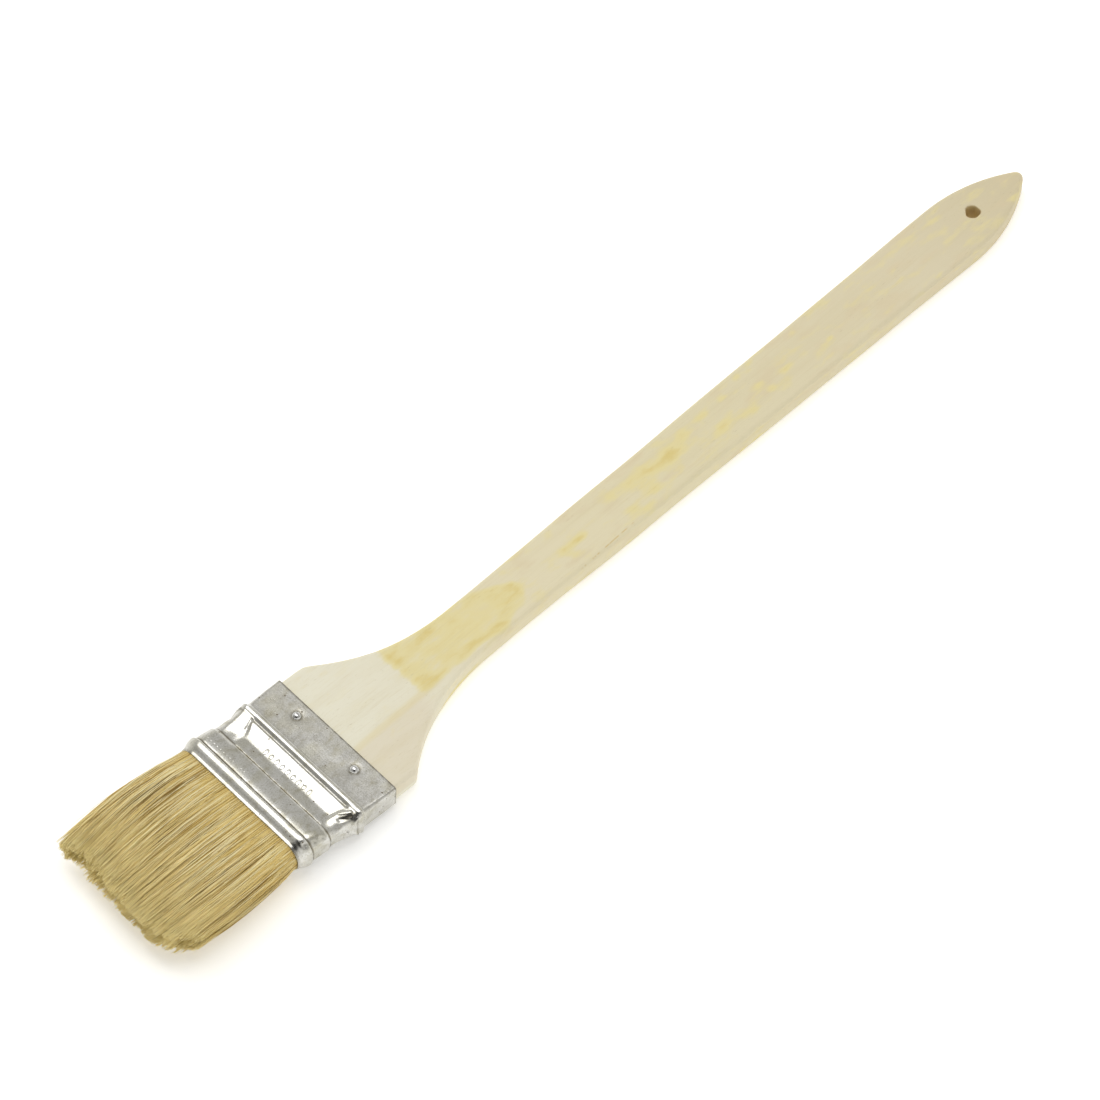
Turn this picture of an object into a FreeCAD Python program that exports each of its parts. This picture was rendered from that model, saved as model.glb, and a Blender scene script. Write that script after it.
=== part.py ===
import FreeCAD, Part
import math
import os
import Sketcher

# Long-handled flat brush for pastry glaze: a one-piece wooden handle, a pressed tinplate
# ferrule nailed to it, and a fill of natural bristle set in resin round a thin spacer plug.
#
# Frame: +X runs from the hanging end to the bristle tips, +Z is up from the face that the
# brush lies on, and the origin is the middle of the whole brush at that height. The head is
# drawn in a frame of its own, where x runs along the head from the bend in the handle and
# z = 0 is its middle plane, and is placed tilted up by head_lift at the bend.
#
# Stations along the handle are measured from its hanging end. Stations along the head are
# measured from the ferrule's top edge, which is the edge on the handle side.

Vector = FreeCAD.Vector
doc = FreeCAD.newDocument("pastry_brush")

SIZES = [
    ("origin_from_end", 184.5, "hanging end to the origin"),
    ("handle_thick", 7.6, "thickness of the wooden board"),
    ("end_width", 2.6, "blunt end of the pointed tip"),
    ("hole_from_end", 21.5, "hanging end to the hole"),
    ("hole_diameter", 4.0, "hole for a hook"),
    ("belly_from_end", 30.5, "widest place of the grip"),
    ("belly_width", 21.3, "width there"),
    ("neck_from_end", 235.5, "narrowest place of the grip"),
    ("neck_width", 17.5, "width there"),
    ("shoulder_from_end", 278.6, "corner where the board is full width"),
    ("shoulder_width", 49.0, "full width of the board"),
    ("head_offset", 1.3, "the head's middle line is this far to +Y of the grip's"),
    ("tongue_length", 13.0, "board inside the ferrule"),
    ("edge_round", 1.3, "softened long edges"),
    ("corner_round", 1.2, "softened shoulder and tip corners"),
    ("bend_from_end", 257.5, "where the head tilts up"),
    ("bend_radius", 180.0, "middle line of the bend"),
    ("head_lift", 4.5, "tilt of the head in degrees"),
    ("bend_to_ferrule", 30.0, "bend to the ferrule's top edge"),
    ("sheet_thick", 0.4, "tinplate"),
    ("fill_gap", 0.3, "ferrule wall to what it holds"),
    ("nail_from_top", 4.5, "ferrule's top edge to the nails"),
    ("front_nail_spacing", 24.6, "between the two nails on the front"),
    ("back_nail_spacing", 31.0, "between the two nails on the back"),
    ("nail_head_diameter", 2.8, "domed head"),
    ("nail_head_rise", 0.9, "how far the dome stands out"),
    ("nail_shank_diameter", 1.2, "shank"),
    ("nail_length", 5.2, "shank below the head"),
    ("resin_start", 15.6, "resin, handle side"),
    ("resin_end", 21.6, "resin, bristle side"),
    ("heel_end", 32.0, "end of the bristle that can't move"),
    ("plug_end", 29.0, "end of the spacer plug"),
    ("plug_width", 42.0, "spacer plug"),
    ("plug_thick", 3.0, "spacer plug"),
    ("hinge_at", 38.5, "line that the free bristle bends about"),
    ("root_width", 49.0, "free bristle at that line"),
    ("root_thick", 11.6, "free bristle at that line"),
    ("root_corner", 5.0, "its rounded corners"),
    ("root_side", -0.4, "its middle to +Y of the grip's middle line"),
    ("swell_at", 60.0, "widest place of the free bristle"),
    ("swell_width", 51.6, "width there"),
    ("swell_thick", 12.0, "thickness there"),
    ("swell_corner", 4.6, "its rounded corners"),
    ("swell_side", -1.0, "its middle to +Y of the grip's middle line"),
    ("tips_at", 81.8, "bristle tips"),
    ("tips_width", 50.4, "width there"),
    ("tips_thick", 9.4, "thickness there"),
    ("tips_corner", 4.0, "its rounded corners"),
    ("tips_side", -1.0, "its middle to +Y of the grip's middle line"),
    ("edge_lock_width", 5.5, "bristle at each narrow side"),
    ("cut_margin", 1.0, "how far a cutting shape reaches past what it cuts"),
]

# The ferrule's profile: each row is a section across the head. The sheet isn't quite square:
# it sits on the offset head at its top edge and comes back to the middle at its mouth.
# name, distance from the top edge, thickness, width, corner radius, middle to +Y
FERRULE_SECTIONS = [
    ("top", 0.0, 8.6, 50.2, 1.0, 1.3),
    ("band", 12.0, 9.4, 50.2, 1.2, 1.3),
    ("bead", 14.0, 11.4, 51.2, 2.0, 1.3),
    ("fall", 15.4, 10.6, 50.2, 1.8, 1.2),
    ("floor", 19.8, 9.0, 49.2, 3.6, 0.9),
    ("sill", 23.8, 9.6, 49.2, 3.8, 0.4),
    ("step", 25.0, 11.2, 50.4, 4.0, 0.2),
    ("lower", 31.0, 12.6, 50.6, 5.0, -0.2),
    ("rim", 33.4, 14.2, 51.4, 5.6, -0.4),
    ("mouth", 36.0, 13.6, 50.8, 5.6, -0.4),
]

UPRIGHT = 0.9  # an edge stands upright where its direction's z is above this
LEVEL = 0.2  # and lies level where it is below this


def make_sheet():
    """Spreadsheet of the driving sizes, one named cell each."""
    sheet = doc.addObject("Spreadsheet::Sheet", "sizes")
    rows = list(SIZES)
    for name, at, thick, wide, corner, side in FERRULE_SECTIONS:
        rows.append((name + "_at", at, "ferrule section, from the top edge"))
        rows.append((name + "_thick", thick, "ferrule section, thickness"))
        rows.append((name + "_wide", wide, "ferrule section, width"))
        rows.append((name + "_corner", corner, "ferrule section, corner radius"))
        rows.append((name + "_side", side, "ferrule section, its middle to +Y"))
    for row, (alias, value, note) in enumerate(rows, start=1):
        sheet.set("A%d" % row, alias)
        sheet.set("B%d" % row, str(value))
        sheet.set("C%d" % row, note)
        sheet.setAlias("B%d" % row, alias)
    doc.recompute()
    return sheet


sheet = make_sheet()


def size(alias):
    """The number in a named cell."""
    return float(sheet.get(alias))


def cells(formula):
    """A formula on cell names, written with {name} for each cell, as an expression."""
    return formula.replace("{", "sizes.").replace("}", "")


def bind(item, prop, formula):
    """Ties a property to a formula on the spreadsheet's cells."""
    item.setExpression(prop, cells(formula))


# ---------------------------------------------------------------- sketches

def body_sketch(body, role, name):
    """Sketch on one of the body's own origin planes."""
    plane = [item for item in body.Origin.OriginFeatures if item.Role == role][0]
    sketch = body.newObject("Sketcher::SketchObject", name)
    sketch.AttachmentSupport = [(plane, "")]
    sketch.MapMode = "FlatFace"
    return sketch


def nearest_end(sketch, edge, point):
    """Which end of a sketch edge is at the point: 1 is its start and 2 its end."""
    start = sketch.getPoint(edge, 1)
    finish = sketch.getPoint(edge, 2)
    return 1 if start.distanceToPoint(point) < finish.distanceToPoint(point) else 2


def draw_outline(sketch, points, middles, smooth=()):
    """Closed outline through the points, and the edge numbers.

    Edge i runs from point i to the next one, as an arc through middles[i] where that is
    given and else as a line. At the points in smooth the two edges are tangent.
    """
    corners = [Vector(x, y, 0) for x, y in points]
    edges = []
    for index, corner in enumerate(corners):
        following = corners[(index + 1) % len(corners)]
        if index in middles:
            through = Vector(middles[index][0], middles[index][1], 0)
            edges.append(sketch.addGeometry(Part.Arc(corner, through, following)))
        else:
            edges.append(sketch.addGeometry(Part.LineSegment(corner, following)))
    for index, corner in enumerate(corners):
        before = edges[index - 1]
        after = edges[index]
        kind = "Tangent" if index in smooth else "Coincident"
        sketch.addConstraint(Sketcher.Constraint(
            kind, before, nearest_end(sketch, before, corner),
            after, nearest_end(sketch, after, corner)))
    return edges


def pin(sketch, edge, point, along=None, across=None):
    """Fixes one end of an edge by its coordinates, each a formula on the cells."""
    end = nearest_end(sketch, edge, Vector(point[0], point[1], 0))
    for kind, formula, value in (("DistanceX", along, point[0]), ("DistanceY", across, point[1])):
        if formula is not None:
            index = sketch.addConstraint(Sketcher.Constraint(kind, edge, end, value))
            bind(sketch, "Constraints[%d]" % index, formula)


def fix_radius(sketch, edge, formula):
    """Ties an arc's radius to a formula on the cells."""
    radius = sketch.Geometry[edge].Radius
    index = sketch.addConstraint(Sketcher.Constraint("Radius", edge, radius))
    bind(sketch, "Constraints[%d]" % index, formula)


def value_of(formula):
    """A formula on the cells worked out as a number, for the first drawing of a sketch."""
    answer = sheet.evalExpression(cells(formula))
    return float(getattr(answer, "Value", answer))


def rounded_section(name, station, side, thick, width, corner, upper_half=False):
    """Rounded rectangle across the head, or its upper half, with every size a formula.

    It stands at a station of the head, with its x along +Y and its y along +Z.
    """
    sketch = doc.addObject("Sketcher::SketchObject", name)
    sketch.Placement = FreeCAD.Placement(Vector(), FreeCAD.Rotation(Vector(1, 1, 1), 120))
    bind(sketch, "Placement.Base.x", "{bend_to_ferrule} + " + station)
    bind(sketch, "Placement.Base.y", side)
    reach = "(%s) / 2" % width
    flat = "((%s) / 2 - (%s))" % (width, corner)
    top = "(%s) / 2" % thick
    rise = "((%s) / 2 - (%s))" % (thick, corner)
    formulas = [(reach, rise), (flat, top), ("-" + flat, top), ("-" + reach, rise)]
    if upper_half:
        formulas = [(reach, "0")] + formulas + [("-" + reach, "0")]
        arcs = {1: (1, 1), 3: (-1, 1)}
    else:
        formulas += [("-" + reach, "-" + rise), ("-" + flat, "-" + top),
                     (flat, "-" + top), (reach, "-" + rise)]
        arcs = {0: (1, 1), 2: (-1, 1), 4: (-1, -1), 6: (1, -1)}
    points = [(value_of(along), value_of(upward)) for along, upward in formulas]
    diagonal = value_of(corner) * math.sqrt(0.5)
    middles = {index: (value_of(flat) * right + diagonal * right,
                       value_of(rise) * up + diagonal * up)
               for index, (right, up) in arcs.items()}
    edges = draw_outline(sketch, points, middles)
    for edge, point, (along, upward) in zip(edges, points, formulas):
        pin(sketch, edge, point, along, upward)
    for index in middles:
        fix_radius(sketch, edges[index], corner)
    return sketch


# ---------------------------------------------------------------- solids

def loft(name, sections):
    """Solid with straight sides through the sections."""
    item = doc.addObject("Part::Loft", name)
    item.Sections = sections
    item.Solid = True
    item.Ruled = True
    return item


def combine(kind, name, **links):
    """Boolean of other objects: Part::Cut, Part::Common, Part::Fuse or Part::MultiFuse."""
    item = doc.addObject(kind, name)
    for prop, value in links.items():
        setattr(item, prop, value)
    return item


def slab(name, stations, sides, heights):
    """Box in the head's frame: between two stations, two sides and two heights."""
    item = doc.addObject("Part::Box", name)
    for prop, letter, (low, high) in (("Length", "x", stations), ("Width", "y", sides),
                                      ("Height", "z", heights)):
        start = "{bend_to_ferrule} + " + low if letter == "x" else low
        bind(item, prop, "(%s) - (%s)" % (high, low))
        bind(item, "Placement.Base." + letter, start)
    return item


def place_on_head(item, along="0", across="0", height="0", pitch="0"):
    """Places an object by a point of the head's frame, tilted with the head and by pitch."""
    item.Placement = FreeCAD.Placement(Vector(), FreeCAD.Rotation(Vector(0, -1, 0), 1))
    lift = "{head_lift} * 1 deg"
    bind(item, "Placement.Base.x", "{bend_from_end} - {origin_from_end}"
         " + (%s) * cos(%s) - (%s) * sin(%s)" % (along, lift, height, lift))
    bind(item, "Placement.Base.y", across)
    bind(item, "Placement.Base.z", "{handle_thick} / 2"
         " + (%s) * sin(%s) + (%s) * cos(%s)" % (along, lift, height, lift))
    bind(item, "Placement.Rotation.Angle", "{head_lift} + (%s)" % pitch)
    return item


def keep(item, node):
    """Names the finished sub-part and lists it for export."""
    item.Label = node
    nodes.append(item)
    return item


nodes = []


# ---------------------------------------------------------------- handle

def handle_side(body):
    """Side view of the board: straight from the hanging end, then tilted up past the bend."""
    lift = math.radians(size("head_lift"))
    thick = size("handle_thick")
    end = -size("origin_from_end")
    bend = size("bend_from_end") + end
    centre_height = size("bend_radius") + thick / 2
    bend_start = bend - size("bend_radius") * math.tan(lift / 2)
    tongue = size("bend_to_ferrule") + size("tongue_length")

    def on_bend(turn, height):
        """Point of the bend at a turn from its start, and a height in the board."""
        reach = centre_height - height
        return (bend_start + reach * math.sin(turn), centre_height - reach * math.cos(turn))

    def on_tongue_end(height):
        """Point of the tongue's end face at a height in the board."""
        offset = height - thick / 2
        return (bend + tongue * math.cos(lift) - offset * math.sin(lift),
                thick / 2 + tongue * math.sin(lift) + offset * math.cos(lift))

    sketch = body_sketch(body, "XZ_Plane", "board_side")
    points = [(end, 0), on_bend(0, 0), on_bend(lift, 0), on_tongue_end(0),
              on_tongue_end(thick), on_bend(lift, thick), on_bend(0, thick), (end, thick)]
    middles = {1: on_bend(lift / 2, 0), 5: on_bend(lift / 2, thick)}
    edges = draw_outline(sketch, points, middles, smooth=(1, 2, 5, 6))
    pin(sketch, edges[0], points[0], "-{origin_from_end}", "0")
    pin(sketch, edges[7], points[7], "-{origin_from_end}", "{handle_thick}")
    along_bend = "{bend_from_end} - {origin_from_end}" \
                 " - {bend_radius} * tan({head_lift} / 2 * 1 deg)"
    pin(sketch, edges[0], points[1], along_bend, "0")
    pin(sketch, edges[6], points[6], along_bend, "{handle_thick}")
    fix_radius(sketch, edges[1], "{bend_radius} + {handle_thick} / 2")
    fix_radius(sketch, edges[5], "{bend_radius} - {handle_thick} / 2")
    reach = "{bend_from_end} - {origin_from_end} + ({bend_to_ferrule} + {tongue_length})" \
            " * cos({head_lift} * 1 deg)"
    for edge, point, sign in ((2, 3, "+"), (4, 4, "-")):
        pin(sketch, edges[edge], points[point],
            reach + " %s {handle_thick} / 2 * sin({head_lift} * 1 deg)" % sign)
    return sketch


def handle_plan(body):
    """Top view of the handle inside a frame: what lies between the two is cut away."""
    past_tongue = "{bend_from_end} + {bend_to_ferrule} + {tongue_length} + {cut_margin}"
    stations = [("end_width", "0", "0"), ("belly_width", "{belly_from_end}", "0"),
                ("neck_width", "{neck_from_end}", "0"),
                ("shoulder_width", "{shoulder_from_end}", "{head_offset}"),
                ("shoulder_width", past_tongue, "{head_offset}")]
    right = [(at + " - {origin_from_end}", "%s + {%s} / 2" % (side, width))
             for width, at, side in stations]
    left = [(at + " - {origin_from_end}", "%s - {%s} / 2" % (side, width))
            for width, at, side in stations]
    formulas = right + left[::-1]
    points = [(value_of(along), value_of(across)) for along, across in formulas]

    def bow(flat, steep):
        """Middle of the arc that leaves the first point level and ends at the second."""
        run = steep[0] - flat[0]
        rise = steep[1] - flat[1]
        radius = (run * run + rise * rise) / (2 * abs(rise))
        half_turn = math.asin(abs(run) / radius) / 2
        return (flat[0] + math.copysign(radius * math.sin(half_turn), run),
                flat[1] + math.copysign(radius * (1 - math.cos(half_turn)), rise))

    middles = {0: bow(points[1], points[0]), 2: bow(points[2], points[3]),
               6: bow(points[7], points[6]), 8: bow(points[8], points[9])}
    sketch = body_sketch(body, "XY_Plane", "board_plan")
    edges = draw_outline(sketch, points, middles, smooth=(1, 2, 7, 8))
    for edge, point, (along, across) in zip(edges, points, formulas):
        pin(sketch, edge, point, along, across)

    behind = "-{origin_from_end} - {cut_margin}"
    beyond = past_tongue + " + {cut_margin} - {origin_from_end}"
    border = [(behind, "-{shoulder_width}"), (beyond, "-{shoulder_width}"),
              (beyond, "{shoulder_width}"), (behind, "{shoulder_width}")]
    turns = [(value_of(along), value_of(across)) for along, across in border]
    for edge, point, (along, across) in zip(draw_outline(sketch, turns, {}), turns, border):
        pin(sketch, edge, point, along, across)
    return sketch


def edges_where(shape, test):
    """Names of the shape's edges whose middle point and direction pass a test."""
    names = []
    for index, edge in enumerate(shape.Edges, start=1):
        middle = edge.valueAt((edge.FirstParameter + edge.LastParameter) / 2)
        tangent = edge.tangentAt((edge.FirstParameter + edge.LastParameter) / 2)
        if test(middle, tangent):
            names.append("Edge%d" % index)
    return names


def make_handle():
    """The wooden board: cut to its side view, then to its plan, bored and softened."""
    body = doc.addObject("PartDesign::Body", "Handle")

    board = body.newObject("PartDesign::Pad", "board")
    board.Profile = handle_side(body)
    board.Midplane = True
    bind(board, "Length", "{shoulder_width} + 2 * ({head_offset} + {cut_margin})")
    doc.recompute()

    plan = body.newObject("PartDesign::Pocket", "plan_cut")
    plan.Profile = handle_plan(body)
    plan.Type = "ThroughAll"
    plan.Midplane = True
    doc.recompute()

    hole = body_sketch(body, "XY_Plane", "hole_circle")
    along = -size("origin_from_end") + size("hole_from_end")
    radius = size("hole_diameter") / 2
    ring = hole.addGeometry(Part.Circle(Vector(along, 0, 0), Vector(0, 0, 1), radius))
    for kind, end, value, formula in (
            ("DistanceX", 3, along, "{hole_from_end} - {origin_from_end}"),
            ("DistanceY", 3, 0.0, "0")):
        index = hole.addConstraint(Sketcher.Constraint(kind, ring, end, value))
        bind(hole, "Constraints[%d]" % index, formula)
    fix_radius(hole, ring, "{hole_diameter} / 2")
    bore = body.newObject("PartDesign::Pocket", "hang_hole")
    bore.Profile = hole
    bore.Type = "ThroughAll"
    bore.Midplane = True
    doc.recompute()

    tongue_end = value_of(
        "{bend_from_end} + {bend_to_ferrule} + {tongue_length} - {origin_from_end}")
    before_end = tongue_end - size("cut_margin")

    def at_corner(middle, tangent):
        """Upright edges of the plan, at the shoulders and at the blunt tip."""
        return abs(tangent.z) > UPRIGHT and middle.x < before_end and not near_hole(middle)

    def along_rim(middle, tangent):
        """Long edges of the board's two faces."""
        return abs(tangent.z) < LEVEL and middle.x < before_end and at_rim(middle)

    corners = body.newObject("PartDesign::Fillet", "corner_round")
    corners.Base = (bore, edges_where(bore.Shape, at_corner))
    bind(corners, "Radius", "{corner_round}")
    doc.recompute()

    long_edges = body.newObject("PartDesign::Fillet", "edge_round")
    long_edges.Base = (corners, edges_where(corners.Shape, along_rim))
    bind(long_edges, "Radius", "{edge_round}")
    doc.recompute()
    return body


def near_hole(point):
    """Whether a point belongs to the hanging hole."""
    along = size("hole_from_end") - size("origin_from_end")
    return math.hypot(point.x - along, point.y) < size("hole_diameter")


def at_rim(point):
    """Whether a point is at the outline of the board, and not at the hole or over the bend."""
    near_tip = point.x < size("end_width") - size("origin_from_end")
    return near_tip or (abs(point.y) > size("neck_width") / 3 and not near_hole(point))


# ---------------------------------------------------------------- nails

def make_nail(name, side, spacing, front):
    """One domed nail, square to the ferrule's sheet, on the front or the back."""
    body = doc.addObject("PartDesign::Body", name.title().replace("_", ""))
    head = size("nail_head_diameter") / 2
    shank = size("nail_shank_diameter") / 2
    rise = size("nail_head_rise")
    length = size("nail_length")
    dome = (head * head + rise * rise) / (2 * rise)
    half_turn = math.asin(head / dome) / 2
    points = [(0, rise), (0, -length), (shank, shank - length), (shank, 0), (head, 0)]
    middles = {4: (dome * math.sin(half_turn), rise - dome * (1 - math.cos(half_turn)))}
    profile = body_sketch(body, "XZ_Plane", name + "_profile")
    edges = draw_outline(profile, points, middles)
    half_shank = "{nail_shank_diameter} / 2"
    places = [("0", "{nail_head_rise}"), ("0", "-{nail_length}"),
              (half_shank, half_shank + " - {nail_length}"), (half_shank, "0"),
              ("{nail_head_diameter} / 2", "0")]
    for edge, point, (along, upward) in zip(edges, points, places):
        pin(profile, edge, point, along, upward)
    fix_radius(profile, edges[4], "(pow({nail_head_diameter} / 2; 2) + pow({nail_head_rise}; 2))"
                                  " / (2 * {nail_head_rise})")
    turned = body.newObject("PartDesign::Revolution", name + "_turned")
    turned.Profile = profile
    turned.ReferenceAxis = (profile, ["V_Axis"])

    slope = "({band_thick} - {top_thick}) / 2 / {band_at}"
    surface = "({top_thick} / 2 + {nail_from_top} * %s)" % slope
    place_on_head(body,
                  along="{bend_to_ferrule} + {nail_from_top}",
                  across="{head_offset} %s {%s} / 2" % ("-" if side < 0 else "+", spacing),
                  height=surface if front else "-" + surface,
                  pitch="atan(%s) / 1 deg" % slope if front else "180 - atan(%s) / 1 deg" % slope)
    return keep(body, name)


# ---------------------------------------------------------------- ferrule and fill

def ferrule_loft(name, inset, names):
    """Loft through the named ferrule sections, set in from the outer face by a formula."""
    sections = []
    for station in names:
        sections.append(rounded_section(
            "%s_%s" % (name, station),
            "{%s_at}" % station,
            "{%s_side}" % station,
            "{%s_thick} - 2 * (%s)" % (station, inset),
            "{%s_wide} - 2 * (%s)" % (station, inset),
            "{%s_corner} - (%s)" % (station, inset)))
    return loft(name, sections)


def make_ferrule(nails):
    """Tinplate band pressed with a bead and a waist, with a rolled rim, nailed through."""
    names = [row[0] for row in FERRULE_SECTIONS]
    shell = combine("Part::Cut", "ferrule_shell", Base=ferrule_loft("outside", "0", names),
                    Tool=ferrule_loft("inside", "{sheet_thick}", names))
    place_on_head(shell)
    return keep(combine("Part::Cut", "Ferrule", Base=shell, Tool=nails), "ferrule")


def make_set_fill():
    """What the ferrule holds still: spacer plug, resin, and the bristle's heel in it."""
    held = ferrule_loft("held", "{sheet_thick} + {fill_gap}",
                        ["fall", "floor", "sill", "step", "lower", "rim"])
    half_plug = "{plug_width} / 2"
    plug_height = ("-{plug_thick} / 2", "{plug_thick} / 2")
    plug = slab("plug_block", ("{resin_start}", "{plug_end}"), ("-" + half_plug, half_plug),
                plug_height)
    reach = ("-{mouth_wide}", "{mouth_wide}")
    for name, node, start, finish in (
            ("Resin", "resin_setting", "{resin_start}", "{resin_end}"),
            ("Heel", "bristle_heel", "{resin_end}", "{heel_end}")):
        span = slab(name + "_span", (start, finish), reach, reach)
        solid = combine("Part::Common", name + "_solid", Base=held, Tool=span)
        keep(place_on_head(combine("Part::Cut", name, Base=solid, Tool=plug)), node)
    keep(place_on_head(combine("Part::Common", "Plug", Base=held, Tool=plug)), "spacer_plug")


def make_free_bristles():
    """Bristle outside the ferrule, which bends about a line just past the mouth.

    Its root is turned about that line, so that it stays clear of the ferrule as it bends.
    """
    outer = loft("free_length", [
        rounded_section("free_" + name, "{%s}" % station, "{%s_side}" % name,
                        "{%s_thick}" % name, "{%s_width}" % name, "{%s_corner}" % name)
        for name, station in (("root", "hinge_at"), ("swell", "swell_at"), ("tips", "tips_at"))])
    turned = doc.addObject("Part::Revolution", "root_turned")
    turned.Source = rounded_section("root_half", "{hinge_at}", "{root_side}", "{root_thick}",
                                    "{root_width}", "{root_corner}", upper_half=True)
    turned.Axis = Vector(0, -1, 0)
    turned.Angle = 180
    turned.Solid = True
    bind(turned, "Base.x", "{bend_to_ferrule} + {hinge_at}")
    fill = combine("Part::Fuse", "free_fill", Base=outer, Tool=turned)

    stations = ("{hinge_at} - {root_thick}", "{tips_at} + {cut_margin}")
    inner = "({root_width} / 2 - {edge_lock_width})"
    inner_left = "{root_side} - " + inner
    inner_right = "{root_side} + " + inner
    outside = "{mouth_wide}"
    full = ("-" + outside, outside)
    for name, sides, heights in (
            ("front_bristles", (inner_left, inner_right), ("0", outside)),
            ("back_bristles", (inner_left, inner_right), ("-" + outside, "0")),
            ("left_edge_bristles", ("-" + outside, inner_left), full),
            ("right_edge_bristles", (inner_right, outside), full)):
        span = slab(name + "_span", stations, sides, heights)
        lock = combine("Part::Common", name.title().replace("_", ""), Base=fill, Tool=span)
        keep(place_on_head(lock), name)


# ---------------------------------------------------------------- the brush

def make_brush():
    """Every sub-part, each listed for export under its node's name."""
    board = make_handle()
    drive = []
    for front, spacing in ((True, "front_nail_spacing"), (False, "back_nail_spacing")):
        for side in (-1, 1):
            face = "front" if front else "back"
            hand = "left" if side < 0 else "right"
            drive.append(make_nail("%s_%s_nail" % (face, hand), side, spacing, front))
    nails = combine("Part::MultiFuse", "nails", Shapes=drive)
    keep(combine("Part::Cut", "NailedHandle", Base=board, Tool=nails), "handle")
    make_ferrule(nails)
    make_set_fill()
    make_free_bristles()
    doc.recompute()


def check_and_write():
    """Stops on any failed object, then writes each sub-part's STEP file."""
    for item in doc.Objects:
        if "Invalid" in item.State or "Error" in item.State:
            raise RuntimeError("%s could not be worked out: %s" % (item.Name, item.State))
    os.makedirs("parts", exist_ok=True)
    for item in nodes:
        if item.Shape.isNull() or not item.Shape.isValid() or not item.Shape.Solids:
            raise RuntimeError("%s has no valid solid" % item.Label)
        item.Shape.exportStep("parts/%s.step" % item.Label)
        box = item.Shape.BoundBox
        print("%-20s %9.1f mm3  X %7.2f to %7.2f  Y %6.2f to %6.2f  Z %6.2f to %6.2f" % (
            item.Label, item.Shape.Volume, box.XMin, box.XMax, box.YMin, box.YMax,
            box.ZMin, box.ZMax))


make_brush()
check_and_write()
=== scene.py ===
"""Studio scene of a long-handled flat brush for pastry glaze.

The brush is a one-piece wooden handle, a pressed tinplate ferrule held by four domed nails,
and natural bristle. Every new surface is worked out on a numpy grid in millimetres, in the
brush's own measures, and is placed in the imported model's frame, in metres.
"""

import logging
import math
from dataclasses import dataclass, field
from enum import Enum

import bmesh
import bpy
import numpy as np
from mathutils import Matrix, Vector


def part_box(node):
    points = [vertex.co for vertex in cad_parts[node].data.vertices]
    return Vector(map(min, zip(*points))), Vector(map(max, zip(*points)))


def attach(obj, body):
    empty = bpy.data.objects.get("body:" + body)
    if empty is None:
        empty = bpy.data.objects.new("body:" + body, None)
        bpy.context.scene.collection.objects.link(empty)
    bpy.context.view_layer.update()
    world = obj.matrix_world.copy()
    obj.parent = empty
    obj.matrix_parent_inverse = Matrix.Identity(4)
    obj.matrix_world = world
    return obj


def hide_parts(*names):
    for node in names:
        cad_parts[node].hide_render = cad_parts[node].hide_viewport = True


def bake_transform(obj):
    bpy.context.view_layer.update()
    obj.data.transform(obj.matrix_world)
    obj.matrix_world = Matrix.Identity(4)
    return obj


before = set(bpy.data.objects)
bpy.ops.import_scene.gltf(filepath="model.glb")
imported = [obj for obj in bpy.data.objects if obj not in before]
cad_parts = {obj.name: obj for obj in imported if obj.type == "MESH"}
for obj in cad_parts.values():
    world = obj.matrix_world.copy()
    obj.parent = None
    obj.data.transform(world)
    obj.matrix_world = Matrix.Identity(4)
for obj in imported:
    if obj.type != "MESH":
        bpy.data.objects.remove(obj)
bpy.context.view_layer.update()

Array = np.ndarray
MM = 0.001
log = logging.getLogger("pastry_brush")


# ------------------------------------------------------------------ numbers and curves

def linear(hex_colour: str) -> tuple[float, float, float, float]:
    """Turns an sRGB hex colour into Blender's linear colour.

    Args:
        hex_colour: six hex digits, red first.

    Returns:
        Red, green, blue and an alpha of 1.
    """
    parts = np.array([int(hex_colour[i:i + 2], 16) for i in (0, 2, 4)]) / 255.0
    light = np.where(parts <= 0.04045, parts / 12.92, ((parts + 0.055) / 1.055) ** 2.4)
    return (float(light[0]), float(light[1]), float(light[2]), 1.0)


def ease(value: Array, low: float, high: float) -> Array:
    """Smooth step from 0 at low to 1 at high: 3 u squared less 2 u cubed of the share u."""
    part = np.clip((value - low) / (high - low), 0.0, 1.0)
    return part * part * (3.0 - 2.0 * part)


def flowing_curve(at: Array, knots: tuple[tuple[float, float], ...]) -> Array:
    """Smooth curve through knots that never overshoots them.

    Each span is a cubic with the ends' slopes. A slope is the harmonic mean of its two
    neighbours' slopes, and level where they differ in sign.

    Args:
        at: where the curve is wanted.
        knots: pairs of place and value, in order.

    Returns:
        The curve's value at each place, held level beyond the ends.
    """
    places = np.array([knot[0] for knot in knots], float)
    values = np.array([knot[1] for knot in knots], float)
    gaps = np.diff(places)
    rises = np.diff(values) / gaps
    before, after = rises[:-1], rises[1:]
    same_way = before * after > 0
    total = np.where(same_way, before + after, 1.0)
    inner = np.where(same_way, 2.0 * before * after / total, 0.0)
    slopes = np.concatenate([[rises[0]], inner, [rises[-1]]])
    spot = np.clip(at, places[0], places[-1])
    span = np.clip(np.searchsorted(places, spot, side="right") - 1, 0, len(gaps) - 1)
    part = (spot - places[span]) / gaps[span]
    square, cube = part ** 2, part ** 3
    return ((2 * cube - 3 * square + 1) * values[span]
            + (cube - 2 * square + part) * gaps[span] * slopes[span]
            + (3 * square - 2 * cube) * values[span + 1]
            + (cube - square) * gaps[span] * slopes[span + 1])


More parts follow.
